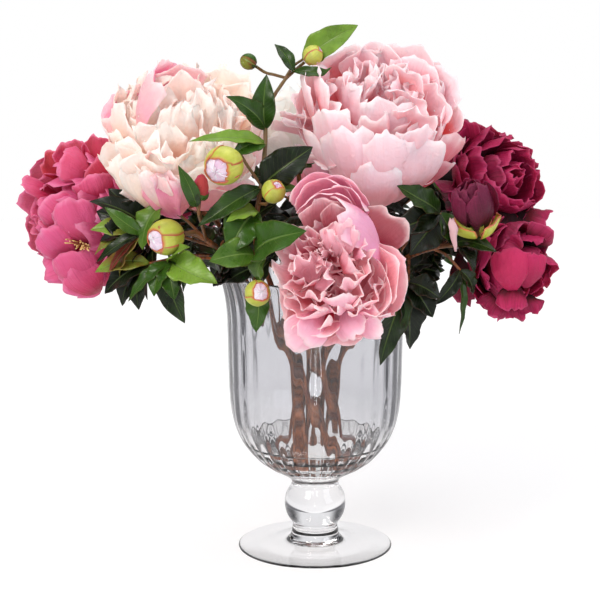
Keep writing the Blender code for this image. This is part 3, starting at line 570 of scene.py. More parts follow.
def clear_material(name, low, high, ior, let_through):
    """Clear glass or water with a low and a high tint. It lets most of the light through."""
    material, wiring, shader = new_material(name, 0.0, IOR=ior, Transmission_Weight=1.0)
    place = wiring.place()
    drift = wiring.noise(place, 14.0)
    height = wiring.parts(place)["Z"]
    share = wiring.maths("ADD", height, wiring.maths("MULTIPLY_ADD", drift, 0.04, -0.02))
    tint = wiring.mix(wiring.smooth(share, 0.09, 0.15), colour(low), colour(high))
    wiring.put(tint, shader.inputs["Base Color"])
    raise_surface(wiring, shader, drift, 0.002, 0.03)
    path = wiring.add("ShaderNodeLightPath")
    indirect = wiring.maths("MAXIMUM", path.outputs["Is Shadow Ray"], path.outputs["Is Diffuse Ray"])
    wiring.put(wiring.maths("MULTIPLY_ADD", indirect, -let_through, 1.0), shader.inputs["Alpha"])
    return material


# ---------------------------------------------------------------- pieces

def new_object(name, data):
    """A new object of the scene."""
    thing = bpy.data.objects.new(name, data)
    bpy.context.scene.collection.objects.link(thing)
    return thing


def mesh_object(name, bm, material):
    """Turns a finished mesh into an object of the scene."""
    mesh = bpy.data.meshes.new(name)
    bm.to_mesh(mesh)
    bm.free()
    mesh.materials.append(material)
    return new_object(name, mesh)


def finish_piece(name, bm, material, nodes, thickness=0.0):
    """Closes a mesh into a piece that stands for its nodes. Blades get their thickness here."""
    bmesh.ops.remove_doubles(bm, verts=bm.verts, dist=PIECE_WELD)
    bmesh.ops.recalc_face_normals(bm, faces=bm.faces)
    for face in bm.faces:
        face.smooth = True
    piece = mesh_object(name, bm, material)
    if thickness:
        wall = piece.modifiers.new("thickness", "SOLIDIFY")
        wall.thickness = thickness * MM
        wall.offset = 0
    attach(piece, "root")
    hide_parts(*nodes)


def new_blades():
    """An empty mesh for blades. Its layers hold each point's place and tone, and its flush."""
    bm = bmesh.new()
    return bm, (bm.verts.layers.float_vector.new("blade"), bm.verts.layers.float.new("flush"))


def add_blade(bm, layers, columns, rows, place, tone, flush=0.0):
    """One blade: a grid laid out by a formula of the place across (-1 to 1) and along (0 to 1)."""
    for vert in bmesh.ops.create_grid(bm, x_segments=columns, y_segments=rows, size=1)["verts"]:
        across, along = vert.co.x, (vert.co.y + 1) / 2
        vert[layers[0]] = (across, along, tone)
        vert[layers[1]] = flush
        vert.co = place(across, along) * MM


def polar_point(radius, turn, height):
    """A point at a distance and turn, in radians, round the upright axis."""
    return Vector((radius * math.cos(turn), radius * math.sin(turn), height))


def facing(axis):
    """A frame whose Z runs along the axis and whose Y is as near straight up as it can be."""
    forward = Vector(axis).normalized()
    nearly_upright = abs(forward.z) > 0.97
    up = Vector((0, 1, 0)) if nearly_upright else Vector((0, 0, 1))
    side = up.cross(forward).normalized()
    return Matrix((side, forward.cross(side), forward)).transposed()


# ---------------------------------------------------------------- petals

# Kinds of petal: ruffle of the margin and its waves, depth of the clefts between lobes and of the
# fray, crumple, rounding of the tip, how broad the tip stays, columns and rows. Then the scales and
# sepals of buds and cups.
GUARD = dict(ruffle=0.04, waves=1.5, cleft=0.05, fray=0.02, crumple=0.07,
             rounding=0.16, broad=0.72, grid=(14, 13))
SHELL = dict(ruffle=0.035, waves=1.4, cleft=0.055, fray=0.025, crumple=0.06,
             rounding=0.14, broad=0.70, grid=(16, 14))
RUFFLE = dict(ruffle=0.06, waves=1.8, cleft=0.07, fray=0.03, crumple=0.09,
              rounding=0.13, broad=0.70, grid=(15, 13))
SHRED = dict(ruffle=0.06, waves=1.6, cleft=0.22, fray=0.07, crumple=0.14,
             rounding=0.16, broad=0.68, grid=(12, 12))
FOLD = dict(ruffle=0.075, waves=2.3, cleft=0.15, fray=0.05, crumple=0.13,
            rounding=0.15, broad=0.68, grid=(18, 14))
TATTER = dict(ruffle=0.07, waves=2.2, cleft=0.09, fray=0.035, crumple=0.15,
              rounding=0.08, broad=0.74, grid=(14, 12))
STRAP = dict(ruffle=0.04, waves=0.8, cleft=0.10, fray=0.05, crumple=0.10,
             rounding=0.3, broad=0.8, grid=(6, 10))
HOOD = dict(ruffle=0.03, waves=1.6, cleft=0.05, fray=0.02, crumple=0.06,
            rounding=0.10, broad=0.62, power=1.2, grid=(20, 15))
CUP_SCALE = dict(ruffle=0.03, waves=2, cleft=0.05, fray=0.02, crumple=0.05, rounding=0.10)
BUD_HEART = dict(ruffle=0.04, waves=2, cleft=0.12, fray=0.03, crumple=0.08, rounding=0.2)
BUD_SEPAL = dict(ruffle=0.01, waves=2, cleft=0.03, fray=0.01, crumple=0.03, rounding=0.10)
BUD_LEAF = dict(ruffle=0.3, cleft=0, fray=0, crumple=0.3, rounding=0.5, broad=0.95, power=0.8, foot=0.4)
CALYX_LEAF = dict(ruffle=0.5, cleft=0, fray=0, crumple=0.6, rounding=0.5, broad=0.95, power=0.8, foot=0.6)


class Petal:
    """How one petal is shaped beyond its curve, in bloom radii."""

    def __init__(self, chance, ruffle, cleft, fray, crumple, rounding, waves=1.5, broad=0.7, power=1.5,
                 foot=0.05, grid=None):
        self.ruffle = ruffle * chance.uniform(0.6, 1.5)
        self.waves = waves * chance.uniform(0.75, 1.3)
        self.phase = chance.uniform(0, math.tau)
        self.cleft = cleft * chance.uniform(0.4, 1.4)
        self.lobes = chance.uniform(1.8, 4.2)
        self.fray = fray
        self.teeth = chance.uniform(7, 11)
        self.start = chance.uniform(0, math.tau)
        self.fold = 0.018 * chance.uniform(0.5, 1.5)
        self.folds = chance.uniform(2.2, 4.0)
        self.crumple = crumple
        self.rounding = rounding
        self.broad = broad
        self.power = power
        self.foot = foot
        self.grid = grid
        self.seed = Vector([chance.uniform(0, NOISE_RANGE) for _ in range(3)])

    def torn(self, across):
        """How far the tip is cut back at a place across."""
        cleft = (1 - abs(math.sin(self.lobes * across + self.start))) ** 2
        teeth = math.sin(self.teeth * across + self.phase) + 0.6 * math.sin(1.6 * self.teeth * across)
        notch = 1.3 * noise.noise(Vector((3 * across, self.phase, self.start)))
        notch += 0.9 * noise.noise(Vector((9 * across, self.phase, self.start)))
        return self.cleft * cleft + self.fray * (0.8 + 0.5 * teeth + notch)


def petal_surface(bend, side, half_width, cup, roll, shape):
    """The surface of a petal along a curve of four points, cupped across towards the axis."""
    def place(across, along):
        step = along * (1 - shape.rounding * across * across) - shape.torn(across) * along ** 4
        back = 1 - step
        middle = (bend[0] * back ** 3 + bend[1] * 3 * back * back * step
                  + bend[2] * 3 * back * step * step + bend[3] * step ** 3)
        heading = ((bend[1] - bend[0]) * back * back + (bend[2] - bend[1]) * 2 * back * step
                   + (bend[3] - bend[2]) * step * step).normalized()
        inward = heading.cross(side).normalized()
        spread = half_width * math.sin(math.pi * shape.broad * max(step, 0)) ** shape.power + shape.foot
        swing = across * spread / cup
        sideways = side * math.cos(roll) + inward * math.sin(roll)
        lift = inward * math.cos(roll) - side * math.sin(roll)
        point = middle + cup * (math.sin(swing) * sideways + (1 - math.cos(swing)) * lift)
        free = max(along ** 3, abs(across) ** 3 * along)
        wave = math.sin(shape.waves * math.pi * across + shape.phase + 2.1 * along)
        fold = math.sin(shape.folds * math.pi * across + 3 * shape.phase)
        fold = shape.fold * fold * along * (1.3 - along)
        point += lift * (shape.ruffle * free * wave + fold)
        spot = point * 2.1 + shape.seed
        point += noise.noise_vector(spot) * shape.crumple * (0.35 + 0.65 * free)
        point += noise.noise_vector(spot * 2.7) * shape.crumple * (0.1 + 0.35 * free)
        point += noise.noise_vector(spot * 6.5) * shape.crumple * 0.16 * free
        return point
    return place


HANDLE = 0.42  # length of a petal curve's handles, as a share of the way from root to tip


def ring_petal(bloom, layer, depth, turn, chance, loose, shape):
    """A petal of a ring: from the bloom's base to a tip on its dome, as in the solids."""
    centre, axis, size = bloom
    tip_angle, reach, half_width, leave, arrive, cup = layer
    tip_angle = math.radians(tip_angle + chance.uniform(-5.5, 5.5) * loose)
    leave = math.radians(leave)
    arrive = math.radians(arrive + chance.uniform(-11, 11) * loose)
    reach *= 1 + chance.uniform(-0.045, 0.04) * loose
    half_width *= chance.uniform(0.88, 1.12)
    roll = math.radians(chance.uniform(0, 10) + chance.uniform(-9, 9) * loose)
    tip = Vector((reach * math.sin(tip_angle), 0, BASE_DROP + reach * math.cos(tip_angle)))
    root = Vector((0.08, 0, 0.05 + depth))
    handle = HANDLE * (tip - root).length
    bend = [root, root + handle * Vector((math.sin(leave), 0, math.cos(leave))),
            tip - handle * Vector((math.sin(arrive), 0, math.cos(arrive))), tip]
    surface = petal_surface(bend, Vector((0, 1, 0)), half_width, cup, roll, shape)
    aim = facing(axis)
    base = Vector(centre) - aim.col[2] * BASE_DROP * size
    turned = Matrix.Rotation(turn, 3, "Z")
    return lambda across, along: base + aim @ (turned @ surface(across, along) * size)


def single_petal(bloom, root, tip, outward, half_width, arch, cup, shape):
    """One petal of its own: root, tip and the way its back faces, in radii from the centre."""
    centre, _, size = bloom
    centre, root, tip, outward = Vector(centre), Vector(root), Vector(tip), Vector(outward)
    along = (tip - root).normalized()
    outward = (outward - along * outward.dot(along)).normalized()
    bulge = outward * arch * 1.33
    bend = [root, root.lerp(tip, 0.30) + bulge, root.lerp(tip, 0.72) + bulge, tip]
    surface = petal_surface(bend, along.cross(outward).normalized(), half_width, cup, 0.0, shape)
    return lambda across, up: centre + surface(across, up) * size


# Rings of petals, outermost first: count, kind, tip angle, reach, half width, angles of leaving and
# arriving, cup, root height, looseness, flush.
RINGS = {}
RINGS["bloom_cream"] = [
    (6, GUARD, 104, 1.06, 0.50, 112, 70, 1.3, 0.00, 1.2, 0.3),
    (7, SHELL, 88, 1.05, 0.48, 108, 24, 1.0, 0.03, 1.2, 0.15),
    (8, SHELL, 74, 1.03, 0.42, 102, -4, 0.8, 0.06, 1.2, 0.0),
    (11, RUFFLE, 63, 1.02, 0.34, 96, -16, 0.7, 0.09, 1.8, 0.1),
    (12, TATTER, 53, 1.00, 0.30, 88, -20, 0.7, 0.12, 2.4, 0.1),
    (12, TATTER, 43, 0.99, 0.28, 78, -22, 0.7, 0.15, 2.6, 0.12),
    (11, TATTER, 33, 0.97, 0.26, 64, -20, 0.6, 0.18, 2.8, 0.12),
    (9, TATTER, 22, 0.95, 0.24, 46, -16, 0.6, 0.21, 2.4, 0.1),
    (6, TATTER, 8, 0.94, 0.22, 22, -6, 0.5, 0.24, 2.4, 0.2),
]
RINGS["bloom_blush"] = [
    (7, GUARD, 98, 1.08, 0.50, 106, 70, 1.4, 0.00, 1.0, 0.5),
    (7, SHELL, 82, 1.05, 0.52, 104, 22, 1.1, 0.03, 1.0, 0.1),
    (7, SHELL, 68, 1.03, 0.50, 98, -8, 0.95, 0.06, 1.2, 0.0),
    (8, SHELL, 56, 1.00, 0.42, 88, -20, 0.8, 0.09, 1.4, 0.0),
    (9, RUFFLE, 46, 0.96, 0.36, 74, -22, 0.6, 0.12, 2.2, 0.0),
    (9, RUFFLE, 35, 0.92, 0.32, 58, -14, 0.45, 0.15, 2.8, 0.0),
    (9, RUFFLE, 24, 0.90, 0.27, 40, -6, 0.4, 0.18, 3.0, 0.0),
    (7, SHRED, 10, 0.88, 0.24, 18, 0, 0.3, 0.21, 3.0, 0.0),
]
RINGS["bloom_rose"] = [
    (6, GUARD, 98, 0.92, 0.50, 104, 70, 1.2, 0.00, 1.6, 0.2),
    (7, SHELL, 84, 0.93, 0.50, 100, 40, 1.0, 0.04, 2.0, 0.1),
    (7, SHELL, 68, 0.84, 0.46, 94, 16, 0.9, 0.08, 2.0, 0.0),
    (6, RUFFLE, 50, 0.74, 0.36, 80, 10, 0.6, 0.12, 2.6, 0.0),
    (6, RUFFLE, 28, 0.66, 0.28, 50, 6, 0.45, 0.16, 2.6, 0.0),
    (4, SHRED, 10, 0.60, 0.22, 20, 0, 0.4, 0.20, 2.4, 0.0),
]
RINGS["shreds"] = [
    (9, STRAP, 46, 1.0, 0.10, 50, 30, 0.4, 0.10, 3.0, 0.0),
    (9, STRAP, 24, 1.05, 0.09, 30, 14, 0.3, 0.14, 3.0, 0.0),
    (5, STRAP, 8, 1.1, 0.08, 10, 4, 0.3, 0.14, 3.0, 0.0),
]
RINGS["bloom_magenta"] = [
    (6, GUARD, 98, 1.00, 0.56, 106, 56, 1.4, 0.00, 1.0, 0.0),
    (6, SHELL, 78, 1.00, 0.58, 102, 14, 1.1, 0.04, 1.0, 0.0),
    (6, SHELL, 60, 1.02, 0.56, 94, -18, 0.9, 0.08, 1.0, 0.0),
    (5, SHELL, 42, 1.00, 0.50, 76, -38, 0.8, 0.12, 1.2, 0.0),
    (5, RUFFLE, 24, 0.98, 0.42, 50, -44, 0.65, 0.16, 1.4, 0.0),
    (4, RUFFLE, 8, 0.95, 0.34, 24, -30, 0.5, 0.2, 1.4, 0.0),
]
RINGS["bloom_burgundy_upper"] = [
    (6, GUARD, 98, 1.08, 0.56, 106, 56, 1.4, 0.00, 1.2, 0.1),
    (6, SHELL, 78, 1.04, 0.58, 102, 16, 1.1, 0.04, 1.2, 0.1),
    (6, RUFFLE, 60, 1.02, 0.52, 94, -14, 0.9, 0.08, 1.2, 0.0),
    (6, RUFFLE, 42, 1.00, 0.44, 76, -32, 0.75, 0.12, 1.4, 0.0),
    (5, RUFFLE, 24, 0.98, 0.38, 50, -38, 0.6, 0.16, 1.4, 0.0),
    (4, RUFFLE, 8, 0.94, 0.32, 24, -24, 0.5, 0.2, 1.4, 0.0),
]
RINGS["bloom_white_back"] = [
    (7, GUARD, 94, 1.06, 0.56, 104, 56, 1.3, 0.00, 1.0, 0.2),
    (7, SHELL, 74, 1.03, 0.50, 98, 10, 1.0, 0.04, 1.2, 0.0),
    (8, RUFFLE, 56, 1.00, 0.40, 86, -16, 0.8, 0.08, 1.4, 0.0),
    (9, RUFFLE, 40, 0.98, 0.30, 66, -26, 0.6, 0.12, 1.6, 0.0),
    (8, SHRED, 24, 0.96, 0.24, 42, -22, 0.5, 0.16, 1.6, 0.0),
    (5, SHRED, 8, 0.92, 0.20, 20, -8, 0.4, 0.2, 1.6, 0.0),
]
RINGS["half_open"] = [
    (4, SHELL, 28, 1.50, 0.72, 92, -44, 0.8, 0.00, 0.6, 0.0),
    (3, SHELL, 16, 1.58, 0.66, 84, -50, 0.7, 0.05, 0.6, 0.0),
    (3, SHELL, 5, 1.56, 0.50, 60, -40, 0.6, 0.1, 0.6, 0.0),
]
RINGS["bloom_burgundy_lower"] = [(count, kind, angle, reach * 0.87, *rest)
                                 for count, kind, angle, reach, *rest in RINGS["bloom_burgundy_upper"]]
for hidden in ("bloom_magenta_back", "bloom_rose_back", "bloom_burgundy_back"):
    RINGS[hidden] = RINGS["bloom_white_back"]

# Petals that stand out of the rings: kind, root, tip, way the back faces, half width, arch, cup,
# tone (low is painted shade, high is painted light), flush. Across, away and up, in bloom radii
# from the bloom's centre.
SINGLES = {}
SINGLES["bloom_cream"] = [
    (HOOD, (-0.45, -0.30, -0.1), (-0.34, -0.45, 1.02), (-1, -0.4, 0.2), 0.30, 0.24, 0.40, 1.0, 0.7),
    (HOOD, (-0.40, -0.05, -0.1), (-0.22, -0.10, 1.14), (-1, 0.6, 0.3), 0.40, 0.22, 0.42, 0.8, 1.4),
    (HOOD, (-0.25, 0.1, 0.0), (-0.02, -0.20, 1.12), (-0.3, 1, 0.3), 0.36, 0.16, 0.50, 1.0, 0.8),
    (SHELL, (-0.1, -0.3, 0.3), (0.04, -0.55, 1.00), (-0.3, 1, 0.3), 0.24, 0.10, 0.40, 1.0, 0.2),
    (GUARD, (-0.3, 0.2, -0.4), (-1.02, 0.1, 0.62), (-0.5, 1, 0.2), 0.30, 0.10, 0.6, 0.4, 1.2),
    (GUARD, (-0.3, 0.0, -0.5), (-1.06, -0.1, 0.36), (-0.7, 0.6, -0.3), 0.30, 0.12, 0.6, 0.6, 0.5),
    (RUFFLE, (0.4, 0.0, -0.1), (0.66, -0.1, 1.06), (0.5, 1, 0.3), 0.42, 0.14, 0.6, 1.0, 0.0),
    (RUFFLE, (0.5, -0.2, 0.1), (0.88, -0.3, 0.80), (0.8, 0.6, 0.3), 0.36, 0.14, 0.5, 0.9, 0.0),
    (RUFFLE, (-0.2, -0.4, -0.90), (-1.04, -0.52, 0.10), (-0.7, -0.8, -0.5), 0.40, 0.18, 0.7, 0.0, 0.0),
    (RUFFLE, (-0.2, -0.4, -0.85), (-1.00, -0.60, -0.18), (-0.7, -0.8, -0.5), 0.30, 0.16, 0.6, 0.3, 0.0),
    (RUFFLE, (-0.2, -0.3, -0.85), (-0.88, -0.66, 0.00), (-0.6, -1, -0.5), 0.32, 0.20, 0.5, 0.7, 0.0),
    (RUFFLE, (-0.2, -0.4, -0.9), (-0.68, -0.85, -0.12), (-0.4, -1, -0.4), 0.30, 0.20, 0.4, 0.8, 0.1),
    (RUFFLE, (-0.15, -0.3, -0.95), (-0.72, -0.66, -0.44), (-0.5, -1, -0.5), 0.32, 0.12, 0.45, 0.1, 0.2),
    (RUFFLE, (-0.1, -0.5, -0.95), (-0.34, -1.02, -0.26), (-0.2, -1, -0.5), 0.24, 0.18, 0.35, 0.1, 0.9),
    (RUFFLE, (-0.05, -0.5, -0.95), (-0.52, -1.00, -0.20), (-0.5, -1, -0.4), 0.24, 0.18, 0.35, 0.8, 0.4),
    (RUFFLE, (-0.1, -0.3, -0.95), (-0.14, -0.98, -0.18), (0.1, -1, -0.4), 0.28, 0.16, 0.4, 0.6, 0.7),
    (RUFFLE, (-0.1, -0.4, -0.6), (-0.36, -1.02, 0.00), (-0.2, -0.4, 1), 0.26, 0.08, 0.4, 0.7, 0.4),
    (GUARD, (0.1, -0.3, -0.7), (1.05, -0.5, 0.10), (0.4, -0.8, -0.8), 0.32, 0.12, 0.7, 0.7, 0.5),
    (GUARD, (0.1, -0.3, -0.6), (0.85, -0.75, 0.12), (0.3, -0.9, -0.6), 0.30, 0.14, 0.6, 1.0, 0.1),
    (GUARD, (0.1, -0.2, -0.9), (0.85, -0.6, -0.35), (0.4, -0.8, -0.8), 0.30, 0.12, 0.7, 0.5, 0.7),
]
SINGLES["bloom_blush"] = [
    (SHELL, (-0.1, -0.50, -0.90), (-0.50, -1.00, 0.16), (-0.4, -1, -0.5), 0.38, 0.20, 0.5, 1.0, 0.0),
    (SHELL, (0.1, -0.55, -0.95), (0.14, -1.14, 0.12), (0.1, -1, -0.5), 0.36, 0.20, 0.5, 1.0, 0.0),
    (RUFFLE, (0.2, -0.5, -0.95), (0.62, -1.00, 0.00), (0.5, -1, -0.5), 0.40, 0.18, 0.5, 0.9, 0.0),
    (SHELL, (0.0, -0.55, -1.0), (0.00, -1.08, -0.26), (0, -1, -0.5), 0.30, 0.16, 0.5, 0.9, 0.0),
    (SHELL, (-0.3, -0.5, -0.5), (-0.66, -0.92, 0.36), (-0.5, -1, 0), 0.24, 0.12, 0.4, 1.0, 0.0),
    (RUFFLE, (0.3, -0.6, -0.5), (0.50, -1.10, 0.20), (0.4, -1, 0), 0.26, 0.12, 0.4, 1.0, 0.0),
    (GUARD, (-0.3, 0.0, -0.2), (-1.30, -0.1, 0.02), (-0.3, -0.3, -1), 0.30, 0.06, 0.9, 0.6, 0.9),
    (GUARD, (-0.3, 0.1, -0.1), (-1.18, -0.1, 0.16), (-0.3, -0.3, -1), 0.26, 0.06, 0.9, 0.8, 0.7),
    (GUARD, (-0.3, -0.1, -0.4), (-1.05, -0.2, -0.40), (-0.3, -0.3, -1), 0.26, 0.06, 0.9, 0.4, 1.0),
    (SHELL, (-0.5, -0.2, -0.3), (-0.90, -0.35, 0.80), (-1, 0, 0), 0.36, 0.18, 0.45, 0.8, 0.0),
    (SHELL, (-0.4, -0.2, -0.2), (-0.72, -0.50, 0.82), (-1, 0, 0), 0.36, 0.18, 0.45, 0.6, 0.0),
    (SHELL, (-0.3, 0.2, 0.1), (-0.40, -0.10, 1.00), (-0.2, 1, 0.4), 0.42, 0.16, 0.6, 0.7, 0.0),
    (SHELL, (0.0, 0.3, 0.1), (-0.06, -0.05, 1.02), (0, 1, 0.4), 0.40, 0.16, 0.6, 0.8, 0.0),
    (SHELL, (0.3, 0.1, 0.2), (0.44, 0.02, 1.02), (0.2, 1, 0.2), 0.40, 0.14, 0.55, 0.9, 0.1),
    (SHELL, (0.3, -0.1, 0.1), (0.60, -0.12, 0.86), (0.4, 1, 0.2), 0.36, 0.14, 0.50, 0.7, 0.0),
    (SHELL, (0.4, -0.1, 0.0), (0.90, -0.10, 0.72), (0.7, 1, 0.2), 0.42, 0.16, 0.55, 0.8, 0.2),
    (SHELL, (0.5, -0.2, -0.1), (1.02, -0.22, 0.40), (0.9, 0.8, 0), 0.42, 0.18, 0.55, 0.6, 0.1),
    (SHELL, (0.4, -0.3, 0.0), (0.80, -0.50, 0.50), (0.6, 1, 0.1), 0.34, 0.14, 0.50, 0.8, 0.0),
    (RUFFLE, (0.2, -0.4, 0.1), (0.46, -0.82, 0.50), (0.3, 1, 0.3), 0.28, 0.10, 0.40, 1.0, 0.0),
    (RUFFLE, (0.3, -0.5, -0.1), (0.56, -0.98, 0.30), (0.3, 1, 0.3), 0.24, 0.08, 0.40, 1.0, 0.0),
    (SHELL, (0.2, -0.2, 0.3), (0.42, -0.66, 0.76), (0.3, 0.9, 0.5), 0.26, 0.10, 0.4, 0.9, 0.0),
    (GUARD, (0.3, -0.4, -0.7), (1.10, -0.4, -0.06), (0.8, -0.5, -0.8), 0.34, 0.14, 0.7, 0.0, 0.0),
    (GUARD, (0.3, -0.3, -0.8), (0.98, -0.4, -0.42), (0.8, -0.5, -0.8), 0.32, 0.10, 0.7, 0.0, 0.0),
]
SINGLES["bloom_rose"] = [
    # hood of shells that bend forward over the top, and the one that wraps round the right
    (HOOD, (0.0, 0.55, 0.3), (-0.28, -0.30, 1.72), (-0.1, 0.6, 1), 0.56, 0.34, 0.55, 0.9, 0.8),
    (HOOD, (0.1, 0.50, 0.3), (-0.08, -0.38, 1.68), (0.1, 0.6, 1), 0.56, 0.34, 0.55, 0.8, 0.7),
    (HOOD, (0.0, 0.45, 0.3), (-0.30, -0.46, 1.61), (-0.1, 0.6, 1), 0.50, 0.34, 0.52, 1.0, 0.5),
    (HOOD, (0.1, 0.42, 0.3), (-0.04, -0.54, 1.54), (0.1, 0.6, 1), 0.52, 0.34, 0.50, 0.8, 0.7),
    (HOOD, (0.0, 0.38, 0.3), (-0.24, -0.62, 1.46), (-0.1, 0.6, 1), 0.44, 0.34, 0.48, 0.9, 0.6),
    (HOOD, (0.50, 0.25, -0.1), (-0.08, -0.64, 1.38), (1, 0, 0.5), 0.56, 0.38, 0.55, 0.9, 0.7),
    (SHELL, (-0.2, 0.0, 0.5), (-0.30, -0.52, 1.40), (-0.2, 1, 0.2), 0.26, 0.10, 0.5, 0.8, 0.0),
    (SHELL, (0.0, -0.1, 0.5), (-0.02, -0.60, 1.28), (0, 1, 0.2), 0.20, 0.08, 0.5, 0.3, 0.0),
    (RUFFLE, (0.2, 0.2, 0.3), (0.86, -0.02, 1.08), (-0.2, 1, 0.2), 0.42, 0.08, 0.9, 0.0, 0.0),
    # folded petals round the middle
    (FOLD, (0.05, -0.55, 0.5), (0.13, -0.82, 1.12), (-0.3, -1, 0.2), 0.22, 0.12, 0.3, 1.0, 0.1),
    (FOLD, (0.0, -0.55, 0.5), (-0.06, -0.81, 0.96), (-0.5, -1, 0), 0.18, 0.10, 0.3, 0.9, 0.1),
    (FOLD, (0.2, -0.6, 0.5), (0.44, -0.74, 0.78), (0, -0.5, 1), 0.16, 0.05, 0.4, 0.8, 0.3),
    (FOLD, (0.1, -0.5, 0.2), (0.44, -0.86, 0.56), (1, 0, 0.1), 0.28, 0.12, 0.35, 1.0, 0.0),
    (FOLD, (0.1, -0.6, 0.1), (0.30, -0.89, 0.38), (0.7, -0.7, 0), 0.26, 0.12, 0.3, 0.9, 0.1),
    (FOLD, (0.1, -0.5, 0.3), (0.14, -0.86, 0.64), (-0.8, -0.2, 0), 0.24, 0.08, 0.3, 0.7, 0.0),
    # left side
    (FOLD, (-0.2, -0.1, 0.2), (-0.88, -0.35, 0.50), (-0.3, 0.9, 0.2), 0.38, 0.10, 0.8, 0.6, 0.0),
    (FOLD, (-0.15, -0.2, 0.3), (-0.62, -0.48, 0.94), (-0.5, 0.8, 0.5), 0.32, 0.10, 0.6, 0.2, 0.1),
    (FOLD, (-0.2, -0.3, 0.3), (-0.52, -0.63, 0.84), (-0.5, 0.8, 0.5), 0.26, 0.10, 0.5, 0.5, 0.1),
    # ruffled cup at the lower left
    (FOLD, (-0.35, -0.5, 0.1), (-0.46, -0.86, 0.58), (-0.2, 0.3, 1), 0.30, 0.10, 0.4, 1.0, 0.1),
    (FOLD, (-0.35, -0.5, 0.1), (-0.80, -0.72, 0.30), (-1, 0, 0.3), 0.30, 0.10, 0.4, 0.8, 0.0),
    (FOLD, (-0.35, -0.5, 0.1), (-0.18, -0.91, 0.36), (0.8, -0.3, 0.2), 0.26, 0.12, 0.35, 0.9, 0.2),
    (FOLD, (-0.35, -0.5, 0.1), (-0.36, -0.92, 0.04), (0, -0.6, -1), 0.28, 0.14, 0.4, 0.8, 0.0),
    (SHRED, (-0.4, -0.5, 0.1), (-0.56, -0.87, 0.26), (0, 0.3, -1), 0.20, 0.06, 0.3, 0.3, 0.0),
    (SHELL, (0.0, -0.6, -0.1), (0.06, -0.94, 0.04), (0.2, -1, -0.2), 0.27, 0.14, 0.35, 1.0, 0.2),
    # large petals at the right
    (SHELL, (0.2, 0.1, -0.1), (1.04, -0.35, 0.26), (1, 0.9, 0), 0.56, 0.16, 0.7, 1.0, 0.1),
    (SHELL, (0.3, 0.0, -0.1), (0.86, -0.58, 0.42), (1, 0.9, -0.1), 0.48, 0.14, 0.7, 0.8, 0.0),
    (SHELL, (0.3, -0.1, -0.2), (0.74, -0.69, 0.14), (1, 0.8, -0.4), 0.48, 0.14, 0.6, 1.0, 0.0),
    (FOLD, (0.2, -0.3, -0.2), (0.50, -0.86, 0.00), (0.8, -0.2, -0.6), 0.40, 0.14, 0.45, 0.8, 0.0),
    (FOLD, (0.15, -0.5, -0.1), (0.32, -0.89, -0.06), (0.6, -0.4, 0), 0.22, 0.08, 0.3, 0.9, 0.0),
    # arcs and hanging petals at the bottom
    (FOLD, (-0.1, -0.3, -0.1), (-0.62, -0.84, -0.08), (-0.4, -0.2, -1), 0.34, 0.14, 0.45, 0.7, 0.0),
    (SHELL, (-0.1, -0.2, -0.15), (-0.66, -0.76, -0.28), (-0.4, -0.2, -1), 0.42, 0.16, 0.5, 0.9, 0.1),
    (FOLD, (-0.1, -0.1, -0.15), (-0.62, -0.71, -0.44), (-0.4, -0.2, -1), 0.42, 0.18, 0.55, 0.6, 0.0),
    (SHELL, (-0.1, -0.1, -0.2), (-0.52, -0.64, -0.60), (-0.4, -0.3, -1), 0.44, 0.18, 0.6, 0.9, 0.3),
    (SHELL, (-0.2, -0.3, -0.30), (-0.76, -0.62, -0.80), (-0.3, -1, -0.6), 0.34, 0.18, 0.5, 1.0, 0.3),
    (SHELL, (-0.3, -0.3, -0.30), (-0.52, -0.66, -0.76), (0, -1, -0.6), 0.28, 0.18, 0.45, 0.9, 0.4),
    (SHELL, (0.1, -0.2, -0.2), (0.28, -0.64, -0.72), (0.1, -1, -0.8), 0.24, 0.12, 0.6, 1.0, 0.4),
    (SHELL, (0.1, -0.2, -0.2), (0.64, -0.60, -0.60), (0.4, -1, -0.8), 0.38, 0.14, 0.6, 0.9, 0.4),
    (SHELL, (0.2, -0.2, -0.2), (0.80, -0.60, -0.36), (0.8, -0.6, -0.8), 0.38, 0.14, 0.6, 0.7, 0.2),
    (FOLD, (0.1, -0.4, -0.2), (0.42, -0.81, -0.14), (0.2, -0.5, -1), 0.34, 0.12, 0.5, 0.8, 0.1),
    (FOLD, (0.0, -0.4, -0.2), (-0.06, -0.86, -0.14), (0, -0.5, -1), 0.26, 0.12, 0.4, 0.8, 0.2),
]
